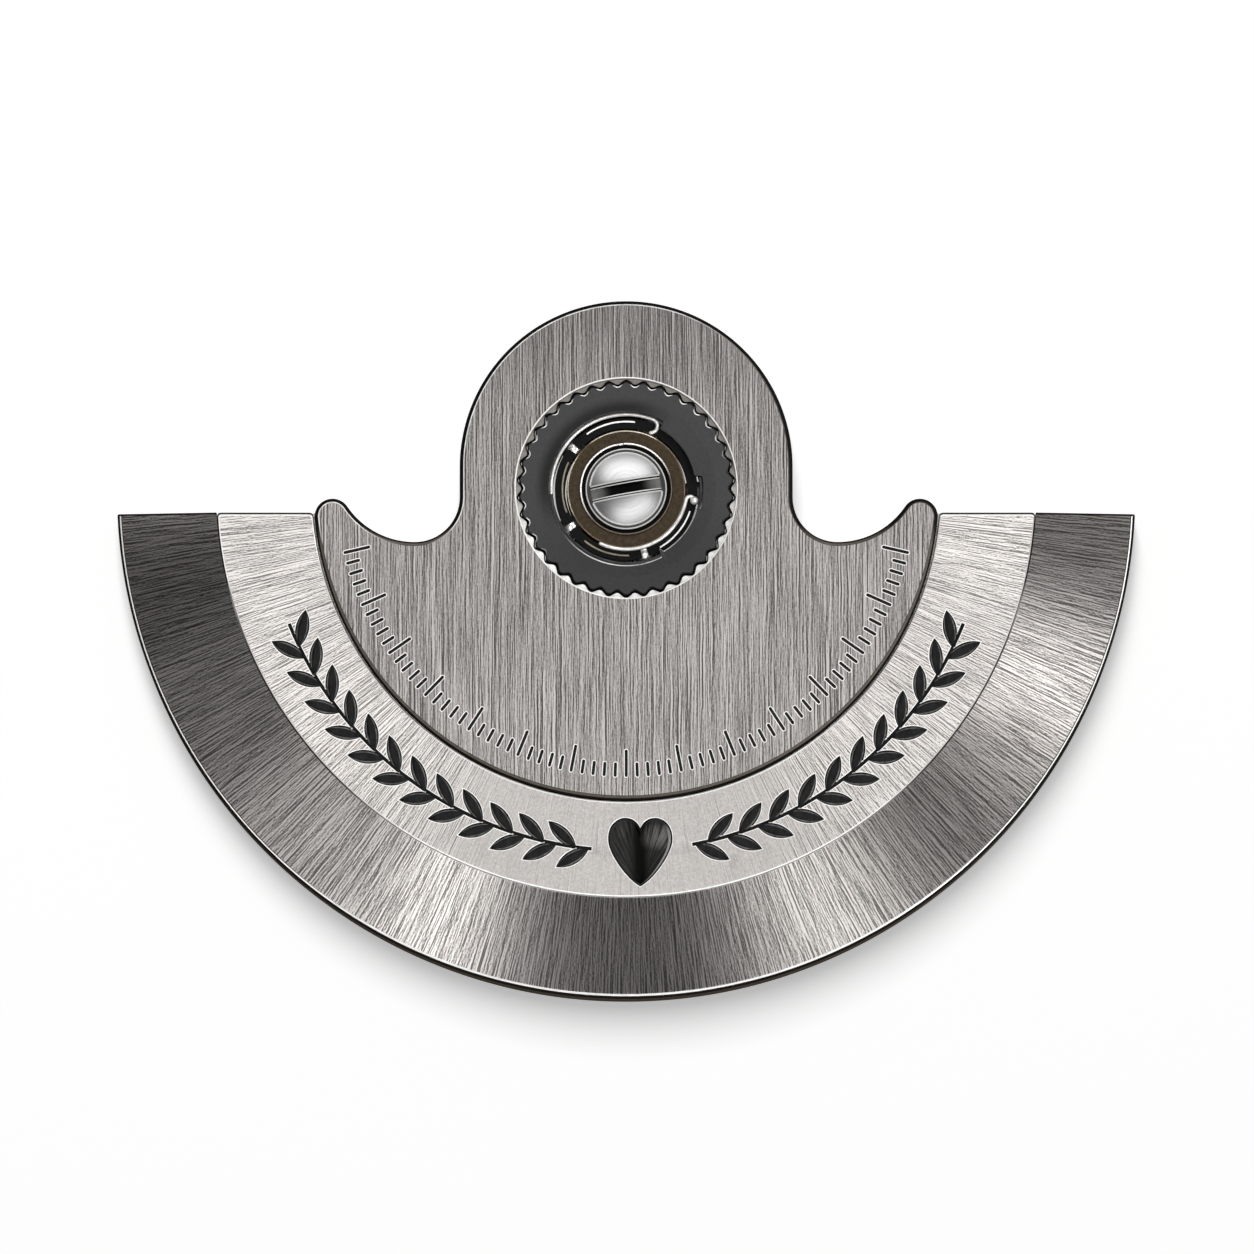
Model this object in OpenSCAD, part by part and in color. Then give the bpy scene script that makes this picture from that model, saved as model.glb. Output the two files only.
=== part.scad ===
// Oscillating weight of a self-winding watch: a half-round rotor on its ball bearing.
// The origin is on the bearing axis, at the seat of the fixed core. Z is the axis and points up.

/* [Weight] */
// Radius of the rim
rotor_r = 12.5; // [12:0.05:13.5]
// How far the straight top edge of the weight lies below the axis
chord_drop = 0.59; // [0.5:0.01:0.7]
// Width of the sloping rim
rim_w = 2.45; // [2:0.05:2.8]
// Width of the flat land inside the rim
land_w = 2.35; // [2.1:0.05:2.6]
// Slope of the rim's top face, in degrees
rim_slope = 10; // [4:0.5:14]
// Height from the land down to the rim's underside
rim_depth = 1.68; // [1.4:0.02:2]
// Chamfer at the rim's upper edge
rim_chamfer = 0.06; // [0.03:0.01:0.12]
// Chamfer at the rim's lower edge
foot_chamfer = 0.12; // [0.05:0.01:0.2]
// Gap between the land and the rim, where they are brazed
braze_gap = 0.01; // [0.005:0.005:0.02]
// Thickness of the land
land_t = 0.88; // [0.6:0.02:1]
// How far the land lies below the top of the plate
land_drop = 0.12; // [0.05:0.01:0.2]
// Width of the ledge that carries the edge of the plate
ledge_w = 1.0; // [0.8:0.05:1.4]

/* [Plate] */
// Thickness of the plate
plate_t = 0.40; // [0.36:0.01:0.5]
// Height of the plate's underside above the seat
plate_z = 0.85; // [0.75:0.01:0.95]
// Gap between the plate's lower edge and the land
seam = 0.03; // [0.02:0.01:0.06]
// Radius of the domed hub and half the width of its neck
hub_r = 4.08; // [3.8:0.02:4.3]
// Height of the hub's centre above the axis
hub_y = 0.54; // [0.3:0.02:0.8]
// Radius of the hollow at the foot of the neck
neck_fillet_r = 1.10; // [0.9:0.02:1.2]
// Level of the centre of that hollow, below the axis
neck_fillet_drop = 0.22; // [0.1:0.01:0.3]
// Radius of the rounded ears
ear_r = 0.44; // [0.36:0.01:0.5]
// How many degrees the ears lie below the horizontal
ear_angle = 5.5; // [4.5:0.1:6.5]
// Radius of the recess round the toothed ring
hub_recess_r = 2.70; // [2.68:0.01:2.9]
// Depth of that recess
hub_recess_t = 0.17; // [0.12:0.01:0.22]
// Radius of the pins that fix the plate
pin_r = 0.25; // [0.15:0.01:0.3]
// Number of pins
pin_count = 5; // [3:1:7]
// How far the pins reach into the plate
pin_bite = 0.20; // [0.1:0.01:0.25]
// Gap round a pin
pin_gap = 0.01; // [0.005:0.005:0.02]

/* [Engraving] */
// Depth of the pockets in the land
pocket_t = 0.12; // [0.08:0.01:0.2]
// How far the black fill stays below the surface
fill_drop = 0.03; // [0.01:0.01:0.05]
// Width of the heart
heart_w = 1.56; // [1.2:0.01:1.8]
// Height of the heart
heart_h = 1.67; // [1.3:0.01:1.8]
// How far the heart's centre lies outside the middle of the land
heart_shift = 0.07; // [-0.1:0.005:0.1]
// How far the heart is turned from straight down, in degrees
heart_turn = 2.2; // [0:0.1:5]
// How far the garland's stem lies outside the middle of the land
garland_shift = 0.025; // [-0.1:0.005:0.1]
// Length of a leaf
leaf_l = 0.92; // [0.7:0.01:1]
// Width of a leaf
leaf_w = 0.32; // [0.2:0.01:0.4]
// Lean of a leaf from the stem, in degrees
leaf_lean = 36; // [25:1:45]
// Angle between two pairs of leaves
leaf_step = 5.1; // [4.8:0.1:6.5]
// Width of the stem
stem_w = 0.07; // [0.05:0.01:0.12]
// Depth of the fine graduation in the plate
scale_t = 0.04; // [0.02:0.01:0.06]
// Distance of the graduation from the plate's lower edge
scale_inset = 0.57; // [0.4:0.01:0.8]
// Length of a long stroke
scale_long = 0.66; // [0.5:0.02:0.8]
// Length of a short stroke
scale_short = 0.34; // [0.2:0.02:0.45]
// Width of a stroke
scale_w = 0.06; // [0.04:0.01:0.08]

/* [Bearing] */
// Diameter of a ball
ball_d = 0.60; // [0.5:0.02:0.62]
// Number of balls
ball_count = 5; // [5:1:5]
// Radius of the circle of balls
pitch_r = 1.65; // [1.6:0.01:1.7]
// Direction of the first ball, in degrees
ball_start = 142; // [138:1:146]
// Running gap between a ball and each race
run_gap = 0.01; // [0.005:0.001:0.02]
// Gap between a ball and its pocket in the cage
pocket_gap = 0.03; // [0.02:0.005:0.05]
// Height of the lower race
lower_race_h = 0.50; // [0.46:0.01:0.54]
// Height of the bronze upper race
upper_race_h = 0.38; // [0.34:0.01:0.42]
// Outer radius of the bronze race
upper_race_r = 1.45; // [1.44:0.005:1.47]
// Outer radius of the outer race
outer_race_r = 2.29; // [2.2:0.01:2.35]
// Height of the outer race
outer_race_h = 0.70; // [0.66:0.01:0.74]
// Height of the undersides of the outer race and the toothed ring
ring_z = 0.25; // [0.22:0.01:0.28]
// Radial gap between the cage and each race
cage_gap = 0.05; // [0.03:0.01:0.06]
// Thickness of the cage's ring under the balls
cage_t = 0.12; // [0.08:0.01:0.15]
// Thickness of the cage's lips
lip_t = 0.045; // [0.03:0.005:0.06]

/* [Toothed ring] */
// Number of teeth
teeth = 38; // [30:1:44]
// Direction of the first tooth, in degrees
tooth_start = 4.7; // [0:0.1:9.5]
// Radius over the teeth
tip_r = 2.64; // [2.6:0.01:2.66]
// Radius between the teeth
root_r = 2.525; // [2.48:0.005:2.56]
// How far the ring lies below the top of the plate
ring_drop = 0.08; // [0.05:0.01:0.12]
// Gap between the ring's teeth and the plate
spline_gap = 0.015; // [0.01:0.005:0.02]
// Radius of the wide part of the ring's opening
open_wide_r = 1.885; // [1.86:0.005:1.95]
// Radius of the narrow part of the ring's opening
open_narrow_r = 1.68; // [1.62:0.01:1.7]
// Radius of the middle part of the ring's opening
open_mid_r = 1.785; // [1.74:0.005:1.82]
// Radius of the notch for the ball-ended wire
notch_r = 1.865; // [1.83:0.005:1.9]
// Radius of both spring wires
wire_r = 0.0375; // [0.03:0.0025:0.045]
// Radius of the ball on the wire's end
bead_r = 0.09; // [0.07:0.005:0.095]

/* [Core] */
// Outer radius of the sleeve
sleeve_r = 1.135; // [1.12:0.005:1.15]
// Thickness of the flange under the lower race
sleeve_flange_t = 0.12; // [0.08:0.01:0.16]
// Outer radius of that flange, which is the seat
seat_r = 1.30; // [1.22:0.01:1.4]
// How far the sleeve stands above the bronze race
sleeve_rise = 0.06; // [0.03:0.01:0.08]
// Wall round the screw's head
sleeve_wall = 0.045; // [0.035:0.005:0.06]
// Depth of the pocket for the screw's head
sleeve_pocket_t = 0.16; // [0.12:0.01:0.2]
// Width of the notch in the sleeve's top edge
key_w = 0.12; // [0.08:0.01:0.16]
// Gap between the sleeve and the races pressed on it
press_gap = 0.005; // [0.002:0.001:0.01]
// Radius of the screw's thread
thread_r = 0.50; // [0.4:0.01:0.55]
// Radius of the screw's shank, inside the sleeve
shank_r = 0.70; // [0.68:0.01:0.8]
// Gap between the shank and the sleeve's bore
shank_gap = 0.05; // [0.03:0.01:0.08]
// How far the shank ends above the seat
shank_lift = 0.02; // [0.01:0.01:0.05]
// Length of thread below the seat
thread_l = 0.50; // [0.4:0.01:0.54]
// Radius of the screw's flange
flange_r = 1.0; // [0.96:0.01:1.04]
// Thickness of the screw's flange
flange_t = 0.15; // [0.1:0.01:0.18]
// Radius of the screw's domed head
dome_r = 0.88; // [0.8:0.01:0.92]
// Height of the dome
dome_h = 0.27; // [0.2:0.01:0.32]
// Width of the slot
slot_w = 0.30; // [0.2:0.01:0.36]
// Depth of the slot
slot_t = 0.20; // [0.12:0.01:0.24]
// Direction of the slot, in degrees
slot_turn = 10; // [0:1:180]

/* [Hidden] */
$fn = 120;
// Overlap of cutting tools past a face
eps = 0.2;

// Radii of the weight, from the rim inwards
rim_in_r = rotor_r - rim_w;
land_edge_r = rim_in_r - land_w;
plate_r = land_edge_r - seam;
land_in_r = land_edge_r - ledge_w;
land_mid_r = land_edge_r + land_w / 2;
heart_reach = land_mid_r + heart_shift;
garland_r = land_mid_r + garland_shift;
scale_r = plate_r - scale_inset;

// Levels of the plate and the weight
plate_top = plate_z + plate_t;
land_z = plate_top - land_drop;
rim_edge_z = land_z - (rotor_r - rim_chamfer - rim_in_r) * tan(rim_slope);
rim_under_z = land_z - rim_depth;
fill_z = land_z - pocket_t;
recess_z = plate_top - hub_recess_t;

// Outline of the plate: hollows at the neck, and ears tangent to the lower edge
ear_c = (plate_r - ear_r) * [cos(ear_angle), -sin(ear_angle)];
ear_join_y = -plate_r * sin(ear_angle);
neck_c = [hub_r + neck_fillet_r, -neck_fillet_drop];
hollow_y = neck_c[1] - neck_fillet_r;
run_x = ear_c[0] - neck_c[0];
run_y = hollow_y - ear_c[1];
wing_r = (run_x * run_x + run_y * run_y - ear_r * ear_r) / (2 * (ear_r - run_y));
wing_c = [neck_c[0], hollow_y + wing_r];
wing_dir = (wing_c - ear_c) / norm(wing_c - ear_c);
wing_join = ear_c + ear_r * wing_dir;

// Right half of the heart in shares of its width and height: the lobe, then the flank down to the point
HEART_LOBE = [[0, 0.34], [0.10, 0.59], [0.5, 0.545], [0.5, 0.19]];
HEART_FLANK = [[0.5, 0.19], [0.5, -0.03], [0.19, -0.41], [0, -0.5]];

// Bearing
ball_z = sleeve_flange_t + lower_race_h;
ball_r = ball_d / 2;
race_reach = (ball_r + run_gap) * sqrt(2);
lower_race_r = pitch_r - ball_r * 0.6;
outer_lip_r = pitch_r + ball_r * 0.5;
race_top = ring_z + outer_race_h;
upper_race_top = ball_z + upper_race_h;
cage_in_r = upper_race_r + cage_gap;
cage_out_r = outer_lip_r - cage_gap;
cage_top_z = ball_z - ball_r - pocket_gap;
tongue_z = race_top - 0.15;
lip_z = race_top - 0.03;
ring_top = plate_top - ring_drop;
hook_wire_z = race_top + wire_r + 0.005;
bead_wire_z = max(upper_race_top + wire_r + 0.02, race_top + bead_r + 0.005);

// Hook at the end of the first wire, and S-bend at the end of the second
hook_wire_r = open_wide_r - wire_r - 0.0075;
hook_r = 0.17;
hook_at = 69;
bead_arc_r = 1.49;
bend_r = 0.1;
bend_at = 349.5;
// The wire is a little thicker in its tight bend
bend_swell = 0.002;

// Lips of the cage: first and last direction, and radius
LIPS = [[82.5, 125.5, 1.67], [154.5, 201.5, 1.565], [231, 272.5, 1.63], [300, 341, 1.655]];

// Core and screw
sleeve_top = upper_race_top + sleeve_rise;
pocket_floor = sleeve_top - sleeve_pocket_t;
race_bore_r = sleeve_r + press_gap;
flange_top = pocket_floor + flange_t;
dome_ball_r = (dome_r * dome_r + dome_h * dome_h) / (2 * dome_h);
head_top = flange_top + dome_h;

// A pie slice of a disc from one direction to another
module slice(r, from, to) {
    steps = ceil((to - from) / 30);
    intersection() {
        circle(r);
        polygon(concat([[0, 0]], [for (i = [0 : steps])
            let (a = from + (to - from) * i / steps) 1.6 * r * [cos(a), sin(a)]]));
    }
}

// Wavy outline of the teeth, grown by a gap
module teeth_outline(grow) {
    mean = (tip_r + root_r) / 2 + grow;
    swing = (tip_r - root_r) / 2;
    polygon([for (i = [0 : teeth * 8 - 1])
        let (a = tooth_start + i * 45 / teeth) (mean + swing * cos(45 * i)) * [cos(a), sin(a)]]);
}

// One side of the plate's hollow outline, to the right of the axis
module wing_solid() {
    polygon([ear_c, wing_join, [neck_c[0], wing_join[1]], [neck_c[0], ear_join_y], [ear_c[0], ear_join_y]]);
    translate(ear_c) circle(ear_r);
    translate([hub_r - eps, hollow_y]) square([neck_fillet_r + eps, neck_c[1] - hollow_y]);
}

module wing_hollow() {
    translate(neck_c) circle(neck_fillet_r);
    intersection() {
        translate(wing_c) circle(wing_r);
        translate([neck_c[0], hollow_y - eps]) square([plate_r, 2 * wing_r]);
    }
}

module plate_outline() {
    difference() {
        union() {
            translate([0, hub_y]) circle(hub_r);
            translate([-hub_r, hollow_y]) square([2 * hub_r, hub_y - hollow_y]);
            intersection() {
                circle(plate_r);
                translate([-2 * plate_r, ear_join_y - 2 * plate_r]) square([4 * plate_r, 2 * plate_r]);
            }
            wing_solid();
            mirror([1, 0]) wing_solid();
        }
        wing_hollow();
        mirror([1, 0]) wing_hollow();
    }
}

// Directions of the pins, evenly spread below the plate
function pin_at(i) = 200 + 140 * i / (pin_count - 1);

module pins(r, low, high) {
    for (i = [0 : pin_count - 1])
        rotate(pin_at(i)) translate([land_edge_r - ledge_w / 2, 0, low]) cylinder(r = r, h = high - low);
}

// Strokes of the graduation, every fifth one long
module strokes() {
    for (i = [-35 : 35])
        rotate(270 + 2.2 * i)
            translate([i % 5 == 0 ? scale_r - scale_long : scale_r - scale_short, -scale_w / 2])
                square([i % 5 == 0 ? scale_long : scale_short, scale_w]);
}

// Point of a smooth curve drawn by four guide points
function bowed(p, t) = pow(1 - t, 3) * p[0] + 3 * pow(1 - t, 2) * t * p[1]
    + 3 * (1 - t) * t * t * p[2] + t * t * t * p[3];

// Heart with its point down, its left half the mirror of its right one
module heart_outline() {
    side = concat([for (i = [0 : 15]) bowed(HEART_LOBE, i / 16)],
                  [for (i = [0 : 15]) bowed(HEART_FLANK, i / 16)]);
    rotate(heart_turn) translate([0, -heart_reach]) rotate(-heart_turn)
        scale([heart_w, heart_h])
            polygon(concat(side, [HEART_FLANK[3]],
                           [for (i = [len(side) - 1 : -1 : 1]) [-side[i][0], side[i][1]]]));
}

// A pointed leaf that starts at the origin and grows along X
module leaf() {
    arc_r = (leaf_l * leaf_l / 4 + leaf_w * leaf_w / 4) / leaf_w;
    intersection() {
        translate([leaf_l / 2, arc_r - leaf_w / 2]) circle(arc_r);
        translate([leaf_l / 2, leaf_w / 2 - arc_r]) circle(arc_r);
    }
}

// A sprig from one direction to another: a stem with a pair of leaves at each step
module sprig(from, to) {
    turn = to > from ? 1 : -1;
    pairs = floor(abs(to - from) / leaf_step);
    difference() {
        slice(garland_r + stem_w / 2, min(from, to), max(from, to));
        circle(garland_r - stem_w / 2);
    }
    for (i = [0 : pairs - 1], side = [-1, 1])
        rotate(from + turn * (i + (side > 0 ? 0.1 : 0.5)) * leaf_step)
            translate([garland_r, 0])
                rotate(turn * 90 - turn * side * leaf_lean)
                    translate([-0.02, 0]) leaf();
}

module garland_outline() {
    sprig(264.5, 202);
    sprig(280.5, 338);
}

module carrier_plate() {
    color([0.62, 0.61, 0.6])
        difference() {
            translate([0, 0, plate_z]) linear_extrude(plate_t) plate_outline();
            translate([0, 0, plate_z - eps]) linear_extrude(plate_t + 2 * eps) teeth_outline(spline_gap);
            translate([0, 0, recess_z]) cylinder(r = hub_recess_r, h = hub_recess_t + eps);
            pins(pin_r + pin_gap, plate_z - eps, plate_z + pin_bite + pin_gap);
            translate([0, 0, plate_top - scale_t]) linear_extrude(scale_t + eps) strokes();
        }
}

// Everything of the weight that lies below its straight top edge
module below_chord() {
    translate([-2 * rotor_r, -chord_drop - 4 * rotor_r, -2 * rotor_r]) cube(4 * rotor_r);
}

module land_ring() {
    color([0.8, 0.8, 0.79])
        difference() {
            intersection() {
                rotate_extrude()
                    polygon([[land_in_r, land_z - land_t], [rim_in_r - braze_gap, land_z - land_t],
                             [rim_in_r - braze_gap, land_z], [land_edge_r, land_z],
                             [land_edge_r, plate_z], [land_in_r, plate_z]]);
                below_chord();
            }
            pins(pin_r + pin_gap, land_z - land_t - eps, plate_z + eps);
            translate([0, 0, fill_z]) linear_extrude(pocket_t + eps) heart_outline();
            translate([0, 0, fill_z]) linear_extrude(pocket_t + eps) garland_outline();
        }
}

module heavy_rim() {
    color([0.5, 0.49, 0.48])
        intersection() {
            rotate_extrude()
                polygon([[rim_in_r, rim_under_z], [rotor_r - foot_chamfer, rim_under_z],
                         [rotor_r, rim_under_z + foot_chamfer], [rotor_r, rim_edge_z - rim_chamfer],
                         [rotor_r - rim_chamfer, rim_edge_z], [rim_in_r, land_z]]);
            below_chord();
        }
}

module heart_fill() {
    color([0.06, 0.06, 0.06])
        translate([0, 0, fill_z]) linear_extrude(pocket_t - fill_drop) heart_outline();
}

module garland_fill() {
    color([0.06, 0.06, 0.06])
        translate([0, 0, fill_z]) linear_extrude(pocket_t - fill_drop) garland_outline();
}

module scale_fill() {
    color([0.2, 0.19, 0.18])
        translate([0, 0, plate_top - scale_t]) linear_extrude(scale_t * 0.7) strokes();
}

module plate_pins() {
    color([0.7, 0.7, 0.7])
        pins(pin_r, land_z - land_t, plate_z + pin_bite);
}

module toothed_ring() {
    color([0.14, 0.14, 0.15])
        difference() {
            translate([0, 0, ring_z]) linear_extrude(ring_top - ring_z) teeth_outline(0);
            translate([0, 0, ring_z - eps])
                cylinder(r = outer_race_r + press_gap, h = outer_race_h + eps);
            translate([0, 0, ring_z])
                linear_extrude(ring_top - ring_z + eps) {
                    circle(open_narrow_r);
                    slice(open_wide_r, 61, 298);
                    slice(open_mid_r, 300, 344);
                    slice(notch_r, 344, 370);
                }
        }
}

module outer_race() {
    color([0.45, 0.45, 0.46])
        rotate_extrude()
            polygon([[outer_race_r, ring_z], [outer_race_r, race_top], [outer_lip_r, race_top],
                     [outer_lip_r, ball_z + (pitch_r + race_reach - outer_lip_r)],
                     [pitch_r + race_reach, ball_z],
                     [outer_lip_r, ball_z - (pitch_r + race_reach - outer_lip_r)],
                     [outer_lip_r, ring_z]]);
}

// A bent length of wire round the origin, from one direction to another
module bent_wire(bend, from, to, r = wire_r) {
    rotate(from) rotate_extrude(angle = to - from) translate([bend, 0]) circle(r, $fn = 24);
}

module hook_wire() {
    color([0.8, 0.79, 0.76])
        translate([0, 0, hook_wire_z]) {
            bent_wire(hook_wire_r, hook_at, 183);
            rotate(hook_at) translate([hook_wire_r - hook_r, 0]) bent_wire(hook_r, -165, 0);
        }
}

module ball_end_wire() {
    color([0.8, 0.79, 0.76])
        translate([0, 0, bead_wire_z]) {
            bent_wire(bead_arc_r, 245, bend_at);
            rotate(bend_at) translate([bead_arc_r + bend_r, 0])
                bent_wire(bend_r, 20, 180, wire_r + bend_swell);
            rotate(bend_at) translate([bead_arc_r + 2 * bend_r, 0.02]) sphere(bead_r, $fn = 40);
        }
}

function ball_at(i) = ball_start + i * 360 / ball_count;

module ball_cage() {
    color([0.1, 0.1, 0.1])
        difference() {
            union() {
                translate([0, 0, cage_top_z - cage_t])
                    difference() {
                        cylinder(r = cage_out_r, h = tongue_z - cage_top_z + cage_t);
                        translate([0, 0, -eps]) cylinder(r = cage_in_r, h = 2);
                    }
                for (lip = LIPS)
                    translate([0, 0, cage_top_z]) linear_extrude(lip_z - cage_top_z)
                        difference() {
                            slice(lip[2] + lip_t / 2, lip[0], lip[1]);
                            circle(lip[2] - lip_t / 2);
                        }
            }
            for (i = [0 : ball_count - 1])
                rotate(ball_at(i)) translate([pitch_r, 0, cage_top_z])
                    cylinder(r = ball_r + pocket_gap, h = 2);
        }
}

module ball(i) {
    color([0.85, 0.85, 0.86])
        rotate(ball_at(i)) translate([pitch_r, 0, ball_z]) sphere(ball_r, $fn = 48);
}

module core_sleeve() {
    color([0.78, 0.78, 0.78])
        difference() {
            union() {
                cylinder(r = seat_r, h = sleeve_flange_t);
                cylinder(r = sleeve_r, h = sleeve_top);
            }
            translate([0, 0, -eps]) cylinder(r = shank_r + shank_gap, h = sleeve_top + 2 * eps);
            translate([0, 0, pocket_floor]) cylinder(r = sleeve_r - sleeve_wall, h = sleeve_pocket_t + eps);
            rotate(97) translate([sleeve_r - 2 * sleeve_wall, -key_w / 2, sleeve_top - 0.08])
                cube([4 * sleeve_wall, key_w, 0.08 + eps]);
        }
}

module lower_race() {
    color([0.6, 0.6, 0.62])
        rotate_extrude()
            polygon([[race_bore_r, sleeve_flange_t], [lower_race_r, sleeve_flange_t],
                     [lower_race_r, ball_z - (lower_race_r - pitch_r + race_reach)],
                     [pitch_r - race_reach, ball_z], [race_bore_r, ball_z]]);
}

module upper_race() {
    color([0.36, 0.27, 0.18])
        rotate_extrude()
            polygon([[race_bore_r, ball_z], [pitch_r - race_reach, ball_z],
                     [upper_race_r, ball_z + (upper_race_r - pitch_r + race_reach)],
                     [upper_race_r, upper_race_top], [race_bore_r, upper_race_top]]);
}

module rotor_screw() {
    color([0.86, 0.86, 0.87])
        difference() {
            union() {
                translate([0, 0, -thread_l]) cylinder(r = thread_r, h = thread_l + pocket_floor);
                translate([0, 0, shank_lift]) cylinder(r = shank_r, h = flange_top - shank_lift);
                translate([0, 0, pocket_floor]) cylinder(r = flange_r, h = flange_t);
                intersection() {
                    translate([0, 0, head_top - dome_ball_r]) sphere(dome_ball_r);
                    translate([0, 0, pocket_floor]) cylinder(r = dome_r, h = 1);
                }
            }
            rotate(slot_turn) translate([-2, -slot_w / 2, head_top - slot_t]) cube([4, slot_w, 1]);
        }
}

carrier_plate();
land_ring();
heavy_rim();
heart_fill();
garland_fill();
scale_fill();
plate_pins();
toothed_ring();
outer_race();
hook_wire();
ball_end_wire();
ball_cage();
ball(0);  // ball_1
ball(1);  // ball_2
ball(2);  // ball_3
ball(3);  // ball_4
ball(4);  // ball_5
core_sleeve();
lower_race();
upper_race();
rotor_screw();
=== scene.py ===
"""Looks of the oscillating weight: fine pieces, brushed metals, soft light and the photograph's view."""
import math

import bmesh
import bpy
import numpy as np
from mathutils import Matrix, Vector, geometry


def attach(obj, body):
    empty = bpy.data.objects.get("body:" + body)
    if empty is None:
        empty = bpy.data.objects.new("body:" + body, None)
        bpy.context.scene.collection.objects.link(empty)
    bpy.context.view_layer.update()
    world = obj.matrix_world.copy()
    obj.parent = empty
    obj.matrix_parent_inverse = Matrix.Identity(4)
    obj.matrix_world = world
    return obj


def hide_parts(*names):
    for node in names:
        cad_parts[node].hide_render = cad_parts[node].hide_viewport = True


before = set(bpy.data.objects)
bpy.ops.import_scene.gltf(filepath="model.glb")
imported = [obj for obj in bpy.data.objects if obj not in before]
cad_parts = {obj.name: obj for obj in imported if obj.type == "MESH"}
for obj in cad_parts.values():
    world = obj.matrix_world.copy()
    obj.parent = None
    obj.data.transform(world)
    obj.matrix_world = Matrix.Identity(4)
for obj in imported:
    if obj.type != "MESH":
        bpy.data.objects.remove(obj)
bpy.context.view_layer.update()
scene = bpy.context.scene
MM = 0.001
# Points closer than this, in metres, are one point
WELD = 1e-7

# Sizes in millimetres, under the names of the part's source
ROTOR_R, CHORD_DROP, RIM_IN_R, LAND_OUT_R = 12.5, 0.59, 10.05, 10.04
LAND_EDGE_R, LAND_IN_R, PLATE_R = 7.70, 6.70, 7.67
PLATE_TOP, PLATE_Z, LAND_Z, LAND_BOTTOM = 1.25, 0.85, 1.13, 0.25
RIM_UNDER_Z, RIM_SLOPE, FOOT_CHAMFER = -0.55, 10, 0.12
HUB_R, HUB_Y, NECK_FILLET_R, NECK_FILLET_DROP = 4.08, 0.54, 1.10, 0.22
EAR_R, EAR_ANGLE, RECESS_R, RECESS_Z = 0.44, 5.5, 2.70, 1.08
PIN_HOLE_R, PIN_REACH, PIN_COUNT = 0.26, 7.20, 5
FILL_Z, HEART_W, HEART_H, HEART_REACH, HEART_TURN = 1.01, 1.56, 1.67, 8.945, 2.2
# Right half of the heart in shares of its width and height: the lobe, then the flank down to the point
HEART_LOBE = ((0, 0.34), (0.10, 0.59), (0.5, 0.545), (0.5, 0.19))
HEART_FLANK = ((0.5, 0.19), (0.5, -0.03), (0.19, -0.41), (0, -0.5))
GARLAND_R, LEAF_L, LEAF_W, LEAF_LEAN, LEAF_STEP, STEM_W = 8.90, 0.92, 0.32, 36, 5.1, 0.07
SCALE_R, SCALE_LONG, SCALE_SHORT, SCALE_W, SCALE_T = 7.10, 0.66, 0.34, 0.06, 0.04
BALL_R, BALL_COUNT, PITCH_R, BALL_START, BALL_Z = 0.30, 5, 1.65, 142, 0.62
RACE_TOP, RING_Z, RING_TOP, RING_BORE_R = 0.95, 0.25, 1.17, 2.295
TEETH, TOOTH_START, TIP_R, ROOT_R, SPLINE_GAP = 38, 4.7, 2.64, 2.525, 0.015
OPEN_WIDE_R, OPEN_MID_R, OPEN_NOTCH_R, OPEN_NARROW_R = 1.885, 1.785, 1.865, 1.68
WIRE_R, BEAD_R, HOOK_WIRE_R, HOOK_R, HOOK_AT, HOOK_Z = 0.0375, 0.09, 1.84, 0.17, 69, 0.9925
BEAD_ARC_R, BEND_R, BEND_AT, BEAD_Z = 1.49, 0.1, 349.5, 1.0575
CAGE_IN_R, CAGE_OUT_R, CAGE_Z, CAGE_FLOOR_Z = 1.50, 1.75, 0.17, 0.29
SLEEVE_R, SLEEVE_TOP, SLEEVE_WALL, SEAT_R, FLANGE_Z = 1.135, 1.06, 0.045, 1.30, 0.12
BORE_R, POCKET_FLOOR, KEY_AT, KEY_W, KEY_T = 0.75, 0.90, 97, 0.12, 0.08
UPPER_RACE_R, UPPER_RACE_TOP, RACE_BORE_R = 1.45, 1.0, 1.14
THREAD_R, THREAD_L, SHANK_R, SHANK_LIFT = 0.50, 0.50, 0.70, 0.02
FLANGE_R, FLANGE_TOP, DOME_R, HEAD_TOP, DOME_BALL_R = 1.0, 1.05, 0.88, 1.32, 1.569
SLOT_W, SLOT_T, SLOT_TURN = 0.30, 0.20, 10
# The graduation's strokes on each side of its middle one, and the degrees from one to the next
STROKES, STROKE_STEP = 35, 2.2
# Where each of the two sprigs starts beside the heart and where it ends, in degrees
SPRIGS = ((264.5, 202), (280.5, 338))
# Radii where the ring's shallow cone ends and where its level rim begins
DISH_R, SHELF_R = 2.16, 2.22
# Width of the small chamfer round each engraved mark
LIP = 0.028


def at(radius, degrees, height=None):
    """A point in one direction from the axis, flat or at a height."""
    turn = math.radians(degrees)
    flat = (radius * math.cos(turn), radius * math.sin(turn))
    return flat if height is None else (*flat, height)


def arc(centre, radius, first, last, steps):
    """Points along an arc, without its last one."""
    turns = [first + (last - first) * i / steps for i in range(steps)]
    return [(centre[0] + at(radius, t)[0], centre[1] + at(radius, t)[1]) for t in turns]


def lift(loop, height):
    return [(x, y, height) for x, y in loop]


def rotated(x, y, degrees):
    c, s = math.cos(math.radians(degrees)), math.sin(math.radians(degrees))
    return x * c - y * s, x * s + y * c


def circle(steps):
    """Evenly spaced directions."""
    return [360 * i / steps for i in range(steps)]


def turned(profile, turns):
    """Rows of points round the axis, one for each (radius, height) of the profile."""
    return [[at(r, t, z) for t in turns] for r, z in profile]


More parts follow.
